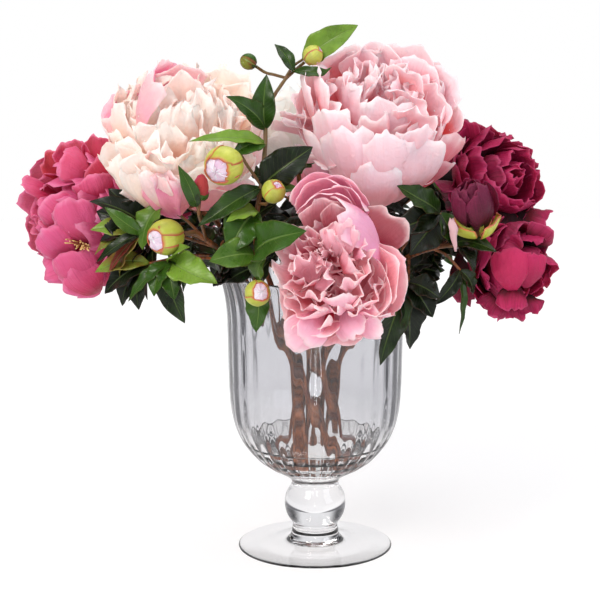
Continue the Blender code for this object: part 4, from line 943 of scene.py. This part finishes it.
SINGLES["bloom_magenta"] = [
    (SHELL, (0.1, -0.7, -0.3), (-0.26, -1.00, 0.40), (-0.2, -1, -0.1), 0.36, 0.16, 0.45, 1.0, 0.1),
    (SHELL, (0.0, -0.5, -0.1), (-0.58, -0.80, 0.36), (-0.5, -0.8, 0.3), 0.32, 0.12, 0.45, 0.7, 0.1),
    (SHELL, (0.2, -0.5, 0.3), (0.10, -0.86, 0.74), (0, -1, 0.4), 0.30, 0.16, 0.4, 0.6, 0.2),
    (SHELL, (0.1, -0.4, 0.5), (-0.36, -0.55, 1.00), (-0.2, -0.6, 1), 0.30, 0.16, 0.4, 1.0, 0.3),
    (SHELL, (0.4, -0.4, 0.4), (0.22, -0.60, 1.00), (0.2, -0.8, 0.8), 0.34, 0.14, 0.45, 0.2, 0.5),
    (SHELL, (0.2, 0.0, 0.4), (0.20, -0.2, 1.22), (0, 1, 0.2), 0.26, 0.06, 0.6, 0.7, 0.4),
    (SHELL, (0.0, 0.0, 0.4), (-0.30, -0.2, 1.16), (0, 1, 0.2), 0.24, 0.06, 0.6, 0.6, 0.4),
    (SHELL, (-0.2, 0.1, 0.4), (-0.56, -0.2, 0.98), (-0.3, 1, 0.2), 0.22, 0.06, 0.6, 0.2, 0.8),
    (GUARD, (-0.3, -0.2, 0.2), (-0.98, -0.3, 0.52), (-0.4, -0.6, 1), 0.16, 0.05, 0.5, 0.4, 0.1),
    (SHELL, (-0.1, -0.6, -0.6), (-0.66, -0.80, -0.10), (-0.6, -1, 0.1), 0.30, 0.14, 0.45, 0.9, 0.0),
    (SHELL, (0.1, -0.5, -1.0), (-0.30, -0.95, -0.36), (-0.2, -1, -0.1), 0.40, 0.20, 0.45, 0.9, 0.1),
    (SHELL, (0.2, -0.5, -1.1), (-0.16, -0.95, -0.62), (0, -1, -0.1), 0.30, 0.16, 0.4, 0.7, 0.2),
    (SHELL, (0.3, -0.4, -0.5), (-0.36, -0.60, -1.05), (-0.1, -1, -0.3), 0.42, 0.20, 0.55, 1.0, 0.0),
    (SHELL, (0.3, -0.4, -0.4), (-0.62, -0.50, -0.92), (-0.6, -1, -0.3), 0.32, 0.16, 0.5, 0.5, 0.0),
    (SHELL, (0.4, -0.3, -0.5), (0.10, -0.50, -1.02), (0.2, -1, -0.3), 0.28, 0.14, 0.5, 0.1, 0.0),
]
SINGLES["bloom_burgundy_upper"] = [
    (SHELL, (-0.45, -0.1, 0.1), (-0.66, -0.12, 1.30), (0.2, 1, 0.3), 0.32, 0.10, 0.7, 0.6, 0.1),
    (SHELL, (-0.4, 0.0, 0.2), (-0.34, -0.04, 1.22), (-0.2, 1, 0.3), 0.34, 0.10, 0.7, 0.4, 0.0),
    (GUARD, (-0.3, -0.2, -0.2), (-1.25, -0.6, 0.10), (-0.4, -0.4, 1), 0.28, 0.06, 0.7, 0.2, 0.0),
    (GUARD, (-0.3, -0.2, -0.4), (-1.00, -0.8, -0.55), (-0.5, -0.8, 0.3), 0.36, 0.06, 0.7, 0.1, 0.0),
    (GUARD, (0.0, -0.3, -0.6), (-0.25, -0.9, -1.95), (-0.3, -1, 0), 0.34, 0.06, 0.6, 0.4, 0.1),
    (FOLD, (0.2, -0.3, -0.4), (0.30, -1.0, -1.25), (0.2, -1, 0.2), 0.46, 0.10, 0.7, 0.1, 0.0),
    (FOLD, (0.3, -0.3, -0.6), (0.78, -0.8, -1.35), (0.4, -1, 0.2), 0.46, 0.10, 0.7, 0.2, 0.0),
    (FOLD, (0.4, -0.1, -0.5), (1.12, -0.3, -0.95), (0.8, -0.6, 0), 0.40, 0.10, 0.7, 0.3, 0.0),
    (GUARD, (0.0, 0.2, -0.4), (-0.70, -0.2, -1.10), (-0.4, -1, 0), 0.42, 0.08, 0.7, 0.0, 0.0),
]
SINGLES["bloom_burgundy_lower"] = [
    (SHELL, (0.05, -0.75, -0.38), (-0.10, -1.14, 0.64), (-0.1, -1, 0.1), 0.44, 0.22, 0.45, 1.0, 0.8),
    (SHELL, (0.3, -0.7, -0.3), (0.34, -1.00, 0.50), (0.2, -1, 0.1), 0.34, 0.16, 0.45, 0.9, 0.3),
    (RUFFLE, (0.1, -0.6, -0.2), (-0.05, -1.00, -0.72), (-0.2, -1, 0.1), 0.32, 0.14, 0.5, 0.6, 0.1),
    (FOLD, (0.2, -0.4, -0.5), (0.35, -0.70, -0.92), (0.2, -1, -0.4), 0.36, 0.16, 0.6, 0.3, 0.0),
    (FOLD, (-0.1, -0.3, -0.4), (-0.45, -0.60, -0.86), (-0.4, -1, -0.3), 0.32, 0.12, 0.6, 0.3, 0.0),
    (GUARD, (0.3, 0.0, 0.4), (0.78, -0.1, 0.80), (0.8, -0.6, 0.4), 0.34, 0.10, 0.7, 0.3, 0.0),
    (STRAP, (-0.98, 0.20, 0.30), (-0.80, -0.16, -0.86), (-0.5, -1.0, 0.1), 0.24, 0.12, 0.5, 0.05, 0.0),
]
SINGLES["half_open"] = [
    (HOOD, (0.1, -0.4, -0.7), (-0.06, -0.42, 1.30), (-0.1, -1, 0.1), 0.74, 0.42, 0.75, 0.9, 0.0),
    (HOOD, (0.4, -0.2, -0.7), (0.30, -0.30, 1.16), (0.8, -0.8, 0.1), 0.60, 0.40, 0.70, 0.5, 0.0),
    (STRAP, (-0.80, -0.8, -1.5), (-1.00, -0.9, 0.1), (-0.3, -1, 0), 0.15, 0.12, 0.3, 1.0, 2.0),
]

# Smaller tufts of petals inside a bloom: rings, middle, direction faced and size, in bloom radii.
TUFTS = {
    "bloom_rose": [
        ("shreds", (-0.22, -0.54, 0.56), (-0.3, -0.92, 0.35), 0.40),
    ],
}

BLOOM_COLOURS = {
    "bloom_cream": "cream", "bloom_blush": "blush", "bloom_rose": "rose", "bloom_magenta": "magenta",
    "bloom_burgundy_upper": "burgundy", "bloom_burgundy_lower": "burgundy", "bloom_white_back": "white",
    "bloom_magenta_back": "magenta", "bloom_rose_back": "rose", "bloom_burgundy_back": "burgundy",
    "half_open": "plum",
}


def add_rings(bm, layers, bloom, rings, chance):
    for count, kind, *curve, depth, loose, flush in rings:
        start = chance.uniform(0, math.tau)
        for number in range(count):
            turn = start + math.tau * (number + chance.uniform(-0.16, 0.16) * loose) / count
            shape = Petal(chance, **kind)
            place = ring_petal(bloom, curve, depth, turn, chance, loose, shape)
            tone = chance.uniform(0.2, 1.0)
            add_blade(bm, layers, *shape.grid, place, tone, flush * chance.uniform(0, 1.6))


def make_bloom(name, bloom, materials, chance):
    bm, layers = new_blades()
    add_rings(bm, layers, bloom, RINGS[name], chance)
    for rings, offset, axis, share in TUFTS.get(name, []):
        middle = Vector(bloom[0]) + Vector(offset) * bloom[2]
        add_rings(bm, layers, (middle, axis, bloom[2] * share), RINGS[rings], chance)
    for kind, *lie, tone, flush in SINGLES.get(name, []):
        shape = Petal(chance, **kind)
        add_blade(bm, layers, *shape.grid, single_petal(bloom, *lie, shape), tone, flush)
    finish = BLOOM_COLOURS[name]
    finish_piece(name + "_petals", bm, materials[finish], [name], PETAL_THICKNESS)


def make_cup(bloom, material, chance):
    """The broad yellow-green scales that still hold the half-open bloom."""
    centre, axis, size = bloom
    bm, layers = new_blades()
    for number in range(3):
        shape = Petal(chance, **CUP_SCALE)
        place = ball_surface(Vector(centre), facing(axis), size * 1.08, 1.0, math.tau * number / 3 - 1.9,
                             SCALE_START, math.radians(98), 0.95, 0.02 + 0.02 * number, shape)
        add_blade(bm, layers, 16, 14, place, chance.uniform(0, 1))
    finish_piece("half_open_cup", bm, material, ["half_open"], CUP_THICKNESS)


# Stamens that show between petals: middle, the way they point, spread and length in bloom radii,
# and their number.
STAMENS = {
    "bloom_magenta": ((-0.04, -0.82, -0.30), (-0.1, -1, 0.1), 0.10, 0.20, 24),
}


def make_stamens(name, bloom, material, chance):
    centre, _, size = bloom
    middle, heading, spread, length, count = STAMENS[name]
    aim = facing(heading)
    bm = bmesh.new()
    for _ in range(count):
        lean = Vector((chance.uniform(-1, 1), chance.uniform(-0.5, 0.5), 0)) * spread
        root = Vector(middle) + aim @ (lean * 0.6)
        top = Vector(middle) + aim @ (lean * 1.8 + Vector((0, 0, length * chance.uniform(0.7, 1.2))))
        bend = root.lerp(top, 0.5) + aim @ (lean * chance.uniform(-0.3, 0.5))
        path = [Vector(centre) + point * size for point in (root, bend, top, top.lerp(bend, -0.3))]
        add_tube(bm, path, [0.35, 0.3, 0.75, 0.5], 1)
    finish_piece(name + "_stamens", bm, material, [name])


def lean_leaf(aim, turn, base, stand, length, bends, half_width, cup, shape):
    """A small sepal that leans out from under a flower. Its bends out and forward are in lengths."""
    out = aim @ polar_point(1, turn, 0)
    side = aim @ Vector((-math.sin(turn), math.cos(turn), 0))
    root = base + out * stand
    bend = [root + out * length * away + aim.col[2] * length * ahead for away, ahead in ((0, 0), *bends)]
    return petal_surface(bend, -side, length * half_width, length * cup, 0, shape)


CALYX_PROFILE = [(0, 0), (0.75, 0), (0.95, 0.5), (1.5, 1.1), (2.0, 2.0), (1.6, 3.0), (0, 3.4)]


def make_calyx(name, bloom, material, chance):
    """The green cup under a bloom: a rounded heel and five sepals laid back against the petals."""
    centre, axis, size = bloom
    aim = facing(axis)
    heel = Vector(centre) - aim.col[2] * (BASE_DROP + HEEL_DROP) * size
    width = 4.6 if size > 30 else 3.6
    bm, layer = new_blades()
    add_turned(bm, smooth_profile(CALYX_PROFILE, 2, width), 16, aim, heel)
    for vert in bm.verts:
        vert[layer[0]] = (0.5, 0.4, 0.55)
    for number in range(5):
        turn = math.tau * number / 5 + chance.uniform(-0.3, 0.3)
        length = size * chance.uniform(0.30, 0.42)
        place = lean_leaf(aim, turn, heel + aim.col[2] * width * 1.6, width, length,
                          ((0.5, 0), (0.85, 0.1), (0.95, 0.45)), 0.26, 0.6, Petal(chance, **CALYX_LEAF))
        add_blade(bm, layer, 6, 9, place, chance.uniform(0.3, 0.8))
    finish_piece(name + "_calyx", bm, material, [name], LEAF_THICKNESS)


# ---------------------------------------------------------------- tubes and turned shapes

def smooth_path(points, steps):
    """A smooth curve through the points, with the given number of steps between each two."""
    spaced = [Vector(p) for p in points]
    ends = [2 * spaced[0] - spaced[1]] + spaced + [2 * spaced[-1] - spaced[-2]]
    path = [spaced[0]]
    for before, start, end, after in zip(ends, ends[1:], ends[2:], ends[3:]):
        reach = (end - start).length / 3
        leave = (end - before).normalized() * reach
        arrive = (after - start).normalized() * reach
        path += interpolate_bezier(start, start + leave, end - arrive, end, steps + 1)[1:]
    return path


def smooth_profile(profile, steps, scale=1):
    """A smooth outline through points given as radius and height."""
    return smooth_path([(radius * scale, 0, height * scale) for radius, height in profile], steps)


def add_turned(bm, profile, steps, aim=Matrix.Identity(3), foot=Vector((0, 0, 0))):
    """Turns a profile that starts and ends on the axis into a closed shape, set in place."""
    before = set(bm.verts)
    verts = [bm.verts.new((point.x * MM, 0, point.z * MM)) for point in profile]
    edges = [bm.edges.new(pair) for pair in zip(verts, verts[1:])]
    bmesh.ops.spin(bm, geom=verts + edges, cent=(0, 0, 0), axis=(0, 0, 1), angle=math.tau,
                   steps=steps, use_merge=True)
    new = [vert for vert in bm.verts if vert not in before]
    for vert in new:
        vert.co = foot * MM + aim @ vert.co
    bmesh.ops.remove_doubles(bm, verts=new, dist=TURNED_WELD)


def add_tube(bm, path, radii, roundness):
    """A round tube with closed ends along a path in millimetres."""
    curve = bpy.data.curves.new("guide", "CURVE")
    curve.dimensions = "3D"
    curve.bevel_depth = MM
    curve.bevel_resolution = roundness
    curve.use_fill_caps = True
    spline = curve.splines.new("POLY")
    spline.points.add(len(path) - 1)
    for point, place, radius in zip(spline.points, path, radii):
        point.co = (*(Vector(place) * MM), 1)
        point.radius = radius
    guide = new_object("guide", curve)
    bpy.context.view_layer.update()
    evaluated = guide.evaluated_get(bpy.context.evaluated_depsgraph_get())
    mesh = bpy.data.meshes.new_from_object(evaluated)
    bm.from_mesh(mesh)
    bpy.data.objects.remove(guide, do_unlink=True)
    bpy.data.meshes.remove(mesh)


# ---------------------------------------------------------------- stems and leaves

def carried_end(name):
    """Where a stem meets the bloom or bud that it carries, and the direction it arrives in."""
    centre, axis, size = BLOOMS[name] if name in BLOOMS else BUDS[name]
    drop = BASE_DROP + HEEL_DROP if name in BLOOMS else BUD_HEEL
    heading = Vector(axis).normalized()
    return Vector(centre) - heading * drop * size, heading


def stem_path(name):
    """The whole path of a stem, from its cut end in the water to what it carries."""
    turn, inner, above, carried = STEMS[name]
    foot_radius = INNER_FOOT if inner else OUTER_FOOT
    foot = polar_point(foot_radius, math.radians(turn + BUNDLE_TWIST), FOOT_HEIGHTS[foot_radius])
    waist = polar_point(INNER_WAIST if inner else OUTER_WAIST, math.radians(turn), WAIST_HEIGHT)
    end, heading = carried_end(carried)
    path = smooth_path([waist] + above + [end - heading * RUN_UP], STEM_STEPS)
    below = [foot.lerp(waist, step / STEM_STEPS) for step in range(STEM_STEPS)]
    return below + path + [end]


def point_at_height(path, height):
    for lower, upper in zip(path, path[1:]):
        if lower.z <= height <= upper.z:
            return lower.lerp(upper, (height - lower.z) / (upper.z - lower.z))
    return path[-1]


def keep_clear(point, balls):
    """Moves a point out of the balls that leaves are bent clear of."""
    for _ in range(2):
        for centre, radius in balls:
            away = point - centre
            if away.length < radius:
                point = centre + away.normalized() * radius
    return point


def leaflet_surface(hub, tip, width, balls, chance):
    """One leaflet: folded along its rib, arched, waved at its edges and bent clear of the flowers."""
    tip = Vector(tip)
    length = (tip - hub).length
    heading = (tip - hub).normalized()
    outward = Vector((0.5 * hub.x, hub.y, 0)).normalized() + Vector((0, 0, 0.7))
    side = heading.cross(outward).normalized()
    face = side.cross(heading).normalized()
    waves = chance.uniform(2.2, 3.6)
    phase = chance.uniform(0, math.tau)
    twist = chance.uniform(-0.5, 0.5)
    sway = chance.uniform(-0.06, 0.06) * length
    seed = Vector((chance.uniform(0, NOISE_RANGE), chance.uniform(0, NOISE_RANGE), 0))

    def place(across, along):
        out = abs(across)
        arch = LEAF_ARCH * length * 4 * along * (1 - along) * (1 - 0.4 * along)
        middle = hub.lerp(tip, along) + face * arch + side * sway * math.sin(math.pi * along)
        half = 0.5 * width * 1.08 * math.sin(math.pi * along ** 0.82) ** 0.85 * (1 - 0.1 * along)
        half = max(half, PETIOLE_RADIUS * (1 - along) ** 0.5 * (1 if along < 0.2 else 0) + 0.15)
        turn = twist * along
        flat = side * math.cos(turn) + face * math.sin(turn)
        lift = face * math.cos(turn) - side * math.sin(turn)
        rise = LEAF_FOLD * out ** 1.3 * half
        swell = math.sin(waves * math.tau * along + phase + (1.2 if across > 0 else 0))
        wave = LEAF_WAVE * half * out ** 2 * swell
        ribs = math.cos((along * VEINS - out * VEIN_SLANT) * math.tau)
        quilt = LEAF_QUILT * half * ribs * min(1, out * 3)
        point = middle + flat * across * half + lift * (rise + wave + quilt)
        point += noise.noise_vector(point * 0.035 + seed) * 0.06 * width * along
        return keep_clear(point, balls)

    return place


def add_inner_leaves(stalks, leaves, layers, path, balls, chance):
    """Short leaves that fill the heart of the bunch between the flowers, dark in tone as painted shade."""
    for _ in range(INNER_LEAVES):
        start = point_at_height(path, chance.uniform(270, 325))
        turn = math.atan2(start.y, start.x) + chance.uniform(-1.5, 1.5)
        hub = start + polar_point(1, turn, 0) * chance.uniform(8, 24)
        hub = keep_clear(hub + Vector((0, 0, chance.uniform(0, 14))), balls)
        stalk = smooth_path([start, start.lerp(hub, 0.5) + Vector((0, 0, 2)), hub], 4)
        add_tube(stalks, stalk, [PETIOLE_RADIUS] * len(stalk), 1)
        for side in (-0.8, 0, 0.8):
            away = polar_point(1, turn + side, chance.uniform(-0.6, 0.5)).normalized()
            tip = hub + away * chance.uniform(36, 54)
            reach = math.hypot(tip.x, tip.y)
            if reach > INNER_REACH:
                tip.x *= INNER_REACH / reach
                tip.y *= INNER_REACH / reach
            place = leaflet_surface(hub, keep_clear(tip, balls), chance.uniform(20, 28), balls, chance)
            # Low tone: painted shade in the heart of the bunch.
            add_blade(leaves, layers, 8, 13, place, chance.uniform(0.0, 0.3))


def make_stem(name, balls, materials, chance):
    path = stem_path(name)
    top = TWIG_RADIUS if name == "spray_centre" else STEM_RADIUS * 0.8
    bm = bmesh.new()
    radii = []
    for step, point in enumerate(path):
        share = step / (len(path) - 1)
        above = point.z - WAIST_HEIGHT
        thick = 1.12 if above < 0 else 1 + 0.12 * max(0, 1 - above / 70)
        radii.append((STEM_RADIUS + (top - STEM_RADIUS) * share) * thick * chance.uniform(0.96, 1.05))
    add_tube(bm, path, radii, 3)
    for bud_name, bearer, height in SIDE_BUDS:
        if bearer == name:
            end, heading = carried_end(bud_name)
            start = point_at_height(path, height)
            run_up = end - heading * min(10, (end - start).length / 3)
            twig = smooth_path([start, start.lerp(run_up, 0.6), run_up, end], 5)
            add_tube(bm, twig, [TWIG_RADIUS] * len(twig), 2)
    leaf_bm, layer = new_blades()
    rows = [row for bearer, *row in LEAVES if bearer == name]
    for height, hub, leaflets in rows:
        start = point_at_height(path, height)
        hub = keep_clear(Vector(hub), balls)
        if (hub - start).length < NODE_REACH:
            hub = start
        else:
            bend = keep_clear(start.lerp(hub, 0.5) + Vector((0, 0, 4)), balls)
            stalk = smooth_path([start, bend, hub], 5)
            add_tube(bm, stalk, [PETIOLE_RADIUS * 1.2] * len(stalk), 2)
        for tip, width, tone in leaflets:
            place = leaflet_surface(hub, tip, width, balls, chance)
            add_blade(leaf_bm, layer, 12, 23, place, tone)
    add_inner_leaves(bm, leaf_bm, layer, path, balls, chance)
    finish_piece(name + "_stalks", bm, materials["stem"], [name])
    finish_piece(name + "_leaves", leaf_bm, materials["leaf"], [name], LEAF_THICKNESS)


# ---------------------------------------------------------------- buds

SCALE_START = math.radians(176)  # where scales and sepals start, close to the back of their ball


def ball_surface(centre, aim, radius, long, turn, start, end, half_width, stand, shape):
    """A scale that wraps a ball from polar angle start (its back) to end (its tip), in radians."""
    def place(across, along):
        step = along * (1 - shape.rounding * across * across) - shape.torn(across) * along ** 5
        polar = start + (end - start) * step
        spread = half_width * (0.3 + 0.7 * math.sin(math.pi * min(1, 0.1 + 0.72 * step)) ** 0.6)
        swing = turn + across * spread
        rise = radius * (1 + stand * (1 - 0.5 * across))
        rise += radius * shape.ruffle * along ** 3 * math.sin(shape.waves * math.pi * across + shape.phase)
        spot = polar_point(math.sin(polar), swing, math.cos(polar))
        if spot.z > 0:
            spot.z *= long
        spot += noise.noise_vector(spot * 2.0 + shape.seed) * shape.crumple
        return centre + aim @ (spot * rise)
    return place


# How each bud is parted: number of sepals, angle of the opening, how long it is drawn out, the
# finish of its petals, and the finish and slot of its sepals.
BUD_LOOKS = {
    "bud_large": (4, 34, 1.0, "bud_petal", "sepal", "bud"),
    "bud_left": (3, 32, 1.06, "bud_petal", "sepal", "bud"),
    "bud_small": (4, 14, 1.0, "bud_petal", "sepal", "bud"),
    "bud_low": (4, 36, 1.0, "bud_petal", "sepal", "bud"),
    "bud_top": (3, 10, 1.05, "bud_petal", "sepal", "bud"),
    "bud_green": (3, -4, 1.05, "bud_petal", "leaf", "leaf"),
    "bud_crimson": (3, 100, 2.1, "crimson", "leaf", "crimson"),
}


def make_bud(name, bud, materials, chance):
    """A bud: wrinkled pale petals that show between parted sepals, and small leaves under them."""
    centre, axis, size = bud
    centre = Vector(centre)
    aim = facing(axis)
    count, opening, long, petal, cover, slot = BUD_LOOKS[name]
    inner, layers = new_blades()
    for number in range(5):
        shape = Petal(chance, **BUD_HEART)
        turn = math.tau * number / 5 + chance.uniform(-0.2, 0.2)
        place = ball_surface(centre, aim, size * 0.90, long, turn, math.radians(150), math.radians(-22),
                             0.95, 0.012 * number, shape)
        add_blade(inner, layers, 12, 15, place, chance.uniform(0.1, 1), chance.uniform(0, 0.5))
    finish_piece(name + "_heart", inner, materials[petal], [name], HEART_THICKNESS)
    outer, layers = new_blades()
    for number in range(count):
        shape = Petal(chance, **BUD_SEPAL)
        reach = math.radians(opening + chance.uniform(-7, 9))
        turn = math.tau * number / count + chance.uniform(-0.2, 0.2)
        place = ball_surface(centre, aim, size * 0.955, long, turn, SCALE_START, reach, 5.2 / count,
                             0.02 + 0.012 * number, shape)
        add_blade(outer, layers, 16, 18, place, chance.uniform(0, 1))
    for number in range(3):
        turn = math.tau * number / 3 + chance.uniform(-0.5, 0.5)
        length = size * chance.uniform(0.6, 0.95)
        place = lean_leaf(aim, turn, centre - aim.col[2] * size * 0.98, 1.2, length,
                          ((0.5, 0), (0.8, 0.4), (0.95, 0.8)), 0.22, 0.5, Petal(chance, **BUD_LEAF))
        add_blade(outer, layers, 6, 8, place, 0.3)
    finish_piece(name + "_sepals", outer, materials[cover], [name], LEAF_THICKNESS)


# ---------------------------------------------------------------- vase and water

def eased(value, low, high):
    """The same as Wiring.smooth, for a plain number."""
    share = min(1, max(0, (value - low) / (high - low)))
    return share * share * (3 - 2 * share)


def flute_depth(height):
    """The flutes start above the knop, are shallow half way up and deepen again towards the lip."""
    depth = FLUTE_DEPTH + LIP_FLUTE_DEPTH * eased(height, *LIP_FLUTES)
    depth += LOW_FLUTE_DEPTH * eased(height, *LOW_FLUTES)
    return depth * eased(height, FLUTE_START, FLUTE_FULL)


def make_vase(material):
    """The glass, turned from its outline. The flutes are then pressed into the outside of the bowl."""
    outside = smooth_profile(FOOT_UNDERSIDE, 3)[:-1]
    outside += smooth_profile(FOOT_OUTLINE[:FOOT_EDGE + 1], 3)[:-1]
    outside += smooth_profile(FOOT_OUTLINE[FOOT_EDGE:] + KNOP_OUTLINE + BOWL_OUTLINE, 3)
    rim = smooth_profile(BOWL_OUTLINE[-1:] + BOWL_RIM, 2)[1:]
    inside = smooth_profile(BOWL_RIM[-1:] + BOWL_INSIDE, 3)[1:]
    bm = bmesh.new()
    add_turned(bm, outside + rim + inside, FLUTES * FLUTE_STEPS)
    outer = {(round(p.x, 3), round(p.z, 3)) for p in outside if p.z > FLUTE_START - 1}
    for vert in bm.verts:
        radius, height = math.hypot(vert.co.x, vert.co.y) / MM, vert.co.z / MM
        if (round(radius, 3), round(height, 3)) in outer:
            angle = math.atan2(vert.co.y, vert.co.x)
            groove = (1 - math.cos(FLUTES * angle)) / 2
            depth = flute_depth(height) * groove
            vert.co.x *= 1 - depth / radius
            vert.co.y *= 1 - depth / radius
    finish_piece("vase_glass", bm, material, ["vase"])


def make_water(material):
    """The water fills the bowl's lower part. It reaches a little into the glass, to leave no air."""
    wet = [(r + WATER_OVERLAP, z - WATER_OVERLAP) for r, z in BOWL_INSIDE if z < WATER_LEVEL - 1]
    outline = [(0, WATER_LEVEL), (WATER_EDGE, WATER_LEVEL)] + wet[:-1] + [(0, wet[-1][1])]
    bm = bmesh.new()
    add_turned(bm, [Vector((r, 0, z)) for r, z in outline], WATER_STEPS)
    finish_piece("vase_water", bm, material, ["water"])


# ---------------------------------------------------------------- floor, lights and camera

def make_floor():
    bm = bmesh.new()
    bmesh.ops.create_circle(bm, cap_ends=True, segments=96, radius=FLOOR_RADIUS)
    bmesh.ops.translate(bm, verts=bm.verts, vec=(0, 0, -FLOOR_DROP))
    material, wiring, shader = new_material("floor_paper", 0.9)
    place = wiring.place()
    paper = wiring.mix(wiring.noise(place, 3.0), colour("D6D6D6"), colour("DADADA"))
    path = wiring.add("ShaderNodeLightPath")
    parts = wiring.parts(place)
    # Seen through the glass, the floor off to the sides and behind the vase turns nearly black: painted
    # dark surroundings, for the dark streaks that the glass refracts near its edges.
    sideways = wiring.smooth(wiring.maths("ABSOLUTE", parts["X"]), 0.12, 0.24)
    away = wiring.times(sideways, path.outputs["Is Transmission Ray"])
    away = wiring.times(away, wiring.smooth(parts["Y"], 0.0, 0.2))
    paper = wiring.mix(away, paper, colour("37373D"))
    wiring.put(paper, shader.inputs["Base Color"])
    wiring.put(paper, shader.inputs["Emission Color"])
    seen = wiring.maths("MAXIMUM", path.outputs["Is Camera Ray"], path.outputs["Is Transmission Ray"])
    lift = wiring.maths("MULTIPLY_ADD", seen, 0.34, 0.16)
    wiring.put(lift, shader.inputs["Emission Strength"])
    floor = mesh_object("floor", bm, material)


def point_at(thing, place, target):
    """Stands a light or camera at its place, aimed at the target."""
    thing.location = place
    thing.rotation_euler = (Vector(target) - Vector(place)).to_track_quat("-Z", "Y").to_euler()


def add_light(name, place, target, width, height, power, tint="FFFFFF"):
    data = bpy.data.lights.new(name, "AREA")
    data.shape = "RECTANGLE"
    data.size = width
    data.size_y = height
    data.energy = power
    data.color = colour(tint)[:3]
    point_at(new_object(name, data), place, target)


def light_studio():
    world = bpy.data.worlds.new("studio")
    world.use_nodes = True
    bpy.context.scene.world = world
    wiring = Wiring(world.node_tree)
    seen = world.node_tree.nodes["Background"]
    seen.inputs["Color"].default_value = (1, 1, 1, 1)
    direction = wiring.add("ShaderNodeTexCoord").outputs["Generated"]
    parts = wiring.parts(direction)
    sides = wiring.smooth(wiring.maths("ABSOLUTE", parts["X"]), 0.30, 0.62)
    low = wiring.smooth(parts["Z"], 0.75, 0.3)
    front = wiring.smooth(parts["Y"], 0.25, -0.3)
    walls = wiring.mix(wiring.times(front, low), colour("F6F6F8"), colour("D2D2D6"))
    above = wiring.smooth(parts["Z"], -0.2, 0.05)
    walls = wiring.mix(wiring.times(sides, wiring.times(low, above)), walls, colour("2C2C32"))
    path = wiring.add("ShaderNodeLightPath")
    walls = wiring.mix(path.outputs["Is Diffuse Ray"], walls, colour("E6E6E8"))
    around = wiring.add("ShaderNodeBackground", inputs={"Color": walls, "Strength": 0.9})
    choice = wiring.add("ShaderNodeMixShader",
                        inputs={0: path.outputs["Is Camera Ray"], 1: around, 2: seen})
    wiring.put(choice, world.node_tree.nodes["World Output"].inputs["Surface"])
    middle = (0, 0, 0.3)
    add_light("key", (-1.3, -1.9, 2.1), middle, 1.1, 1.1, 44, "FFF9F2")
    add_light("fill", (1.9, -1.3, 1.0), middle, 1.2, 1.6, 14, "F4F7FF")
    add_light("top", (0.2, 0.5, 2.4), middle, 1.8, 1.8, 14)
    for side in (-1, 1):
        aside = side * 0.022
        add_light(f"strip_{side}", (aside, -0.50, 0.075), (aside, 0, 0.075), 0.012, 0.13, 0.07)


def place_camera():
    data = bpy.data.cameras.new("camera")
    data.lens = CAMERA_LENS
    data.sensor_width = CAMERA_SENSOR
    camera = new_object("camera", data)
    point_at(camera, CAMERA_PLACE, CAMERA_TARGET)
    bpy.context.scene.camera = camera
    bpy.context.scene.view_settings.view_transform = "Standard"


# ---------------------------------------------------------------- the whole bunch

def main():
    noise.seed_set(NOISE_SEED)
    place_camera()
    light_studio()
    make_floor()

    materials = petal_materials()
    materials["leaf"] = leaf_material()
    materials["stem"] = stem_material()
    materials["sepal"] = sepal_material()
    stamen = stamen_material()

    make_vase(clear_material("vase_glass", "F8F8F9", "DEDEE1", 1.5, 0.9))
    make_water(clear_material("vase_water", "FDFDFB", "FBFBF8", 1.33, 0.95))

    balls = [(Vector(centre), size * LEAF_CLEARANCE) for centre, _, size in BLOOMS.values()]
    balls += [(Vector(centre), size + BUD_CLEARANCE) for centre, _, size in BUDS.values()]
    for seed, name in enumerate(STEMS, start=STEM_SEED):
        make_stem(name, balls, materials, random.Random(seed))
    for seed, (name, bloom) in enumerate(BLOOMS.items(), start=BLOOM_SEED):
        make_bloom(name, bloom, materials, random.Random(seed))
        make_calyx(name, bloom, materials["leaf"], random.Random(seed + CALYX_SEED))
        if name in STAMENS:
            make_stamens(name, bloom, stamen, random.Random(seed + STAMEN_SEED))
    make_cup(BLOOMS["half_open"], materials["sepal"], random.Random(CUP_SEED))
    for seed, (name, bud) in enumerate(BUDS.items(), start=BUD_SEED):
        make_bud(name, bud, materials, random.Random(seed))


main()
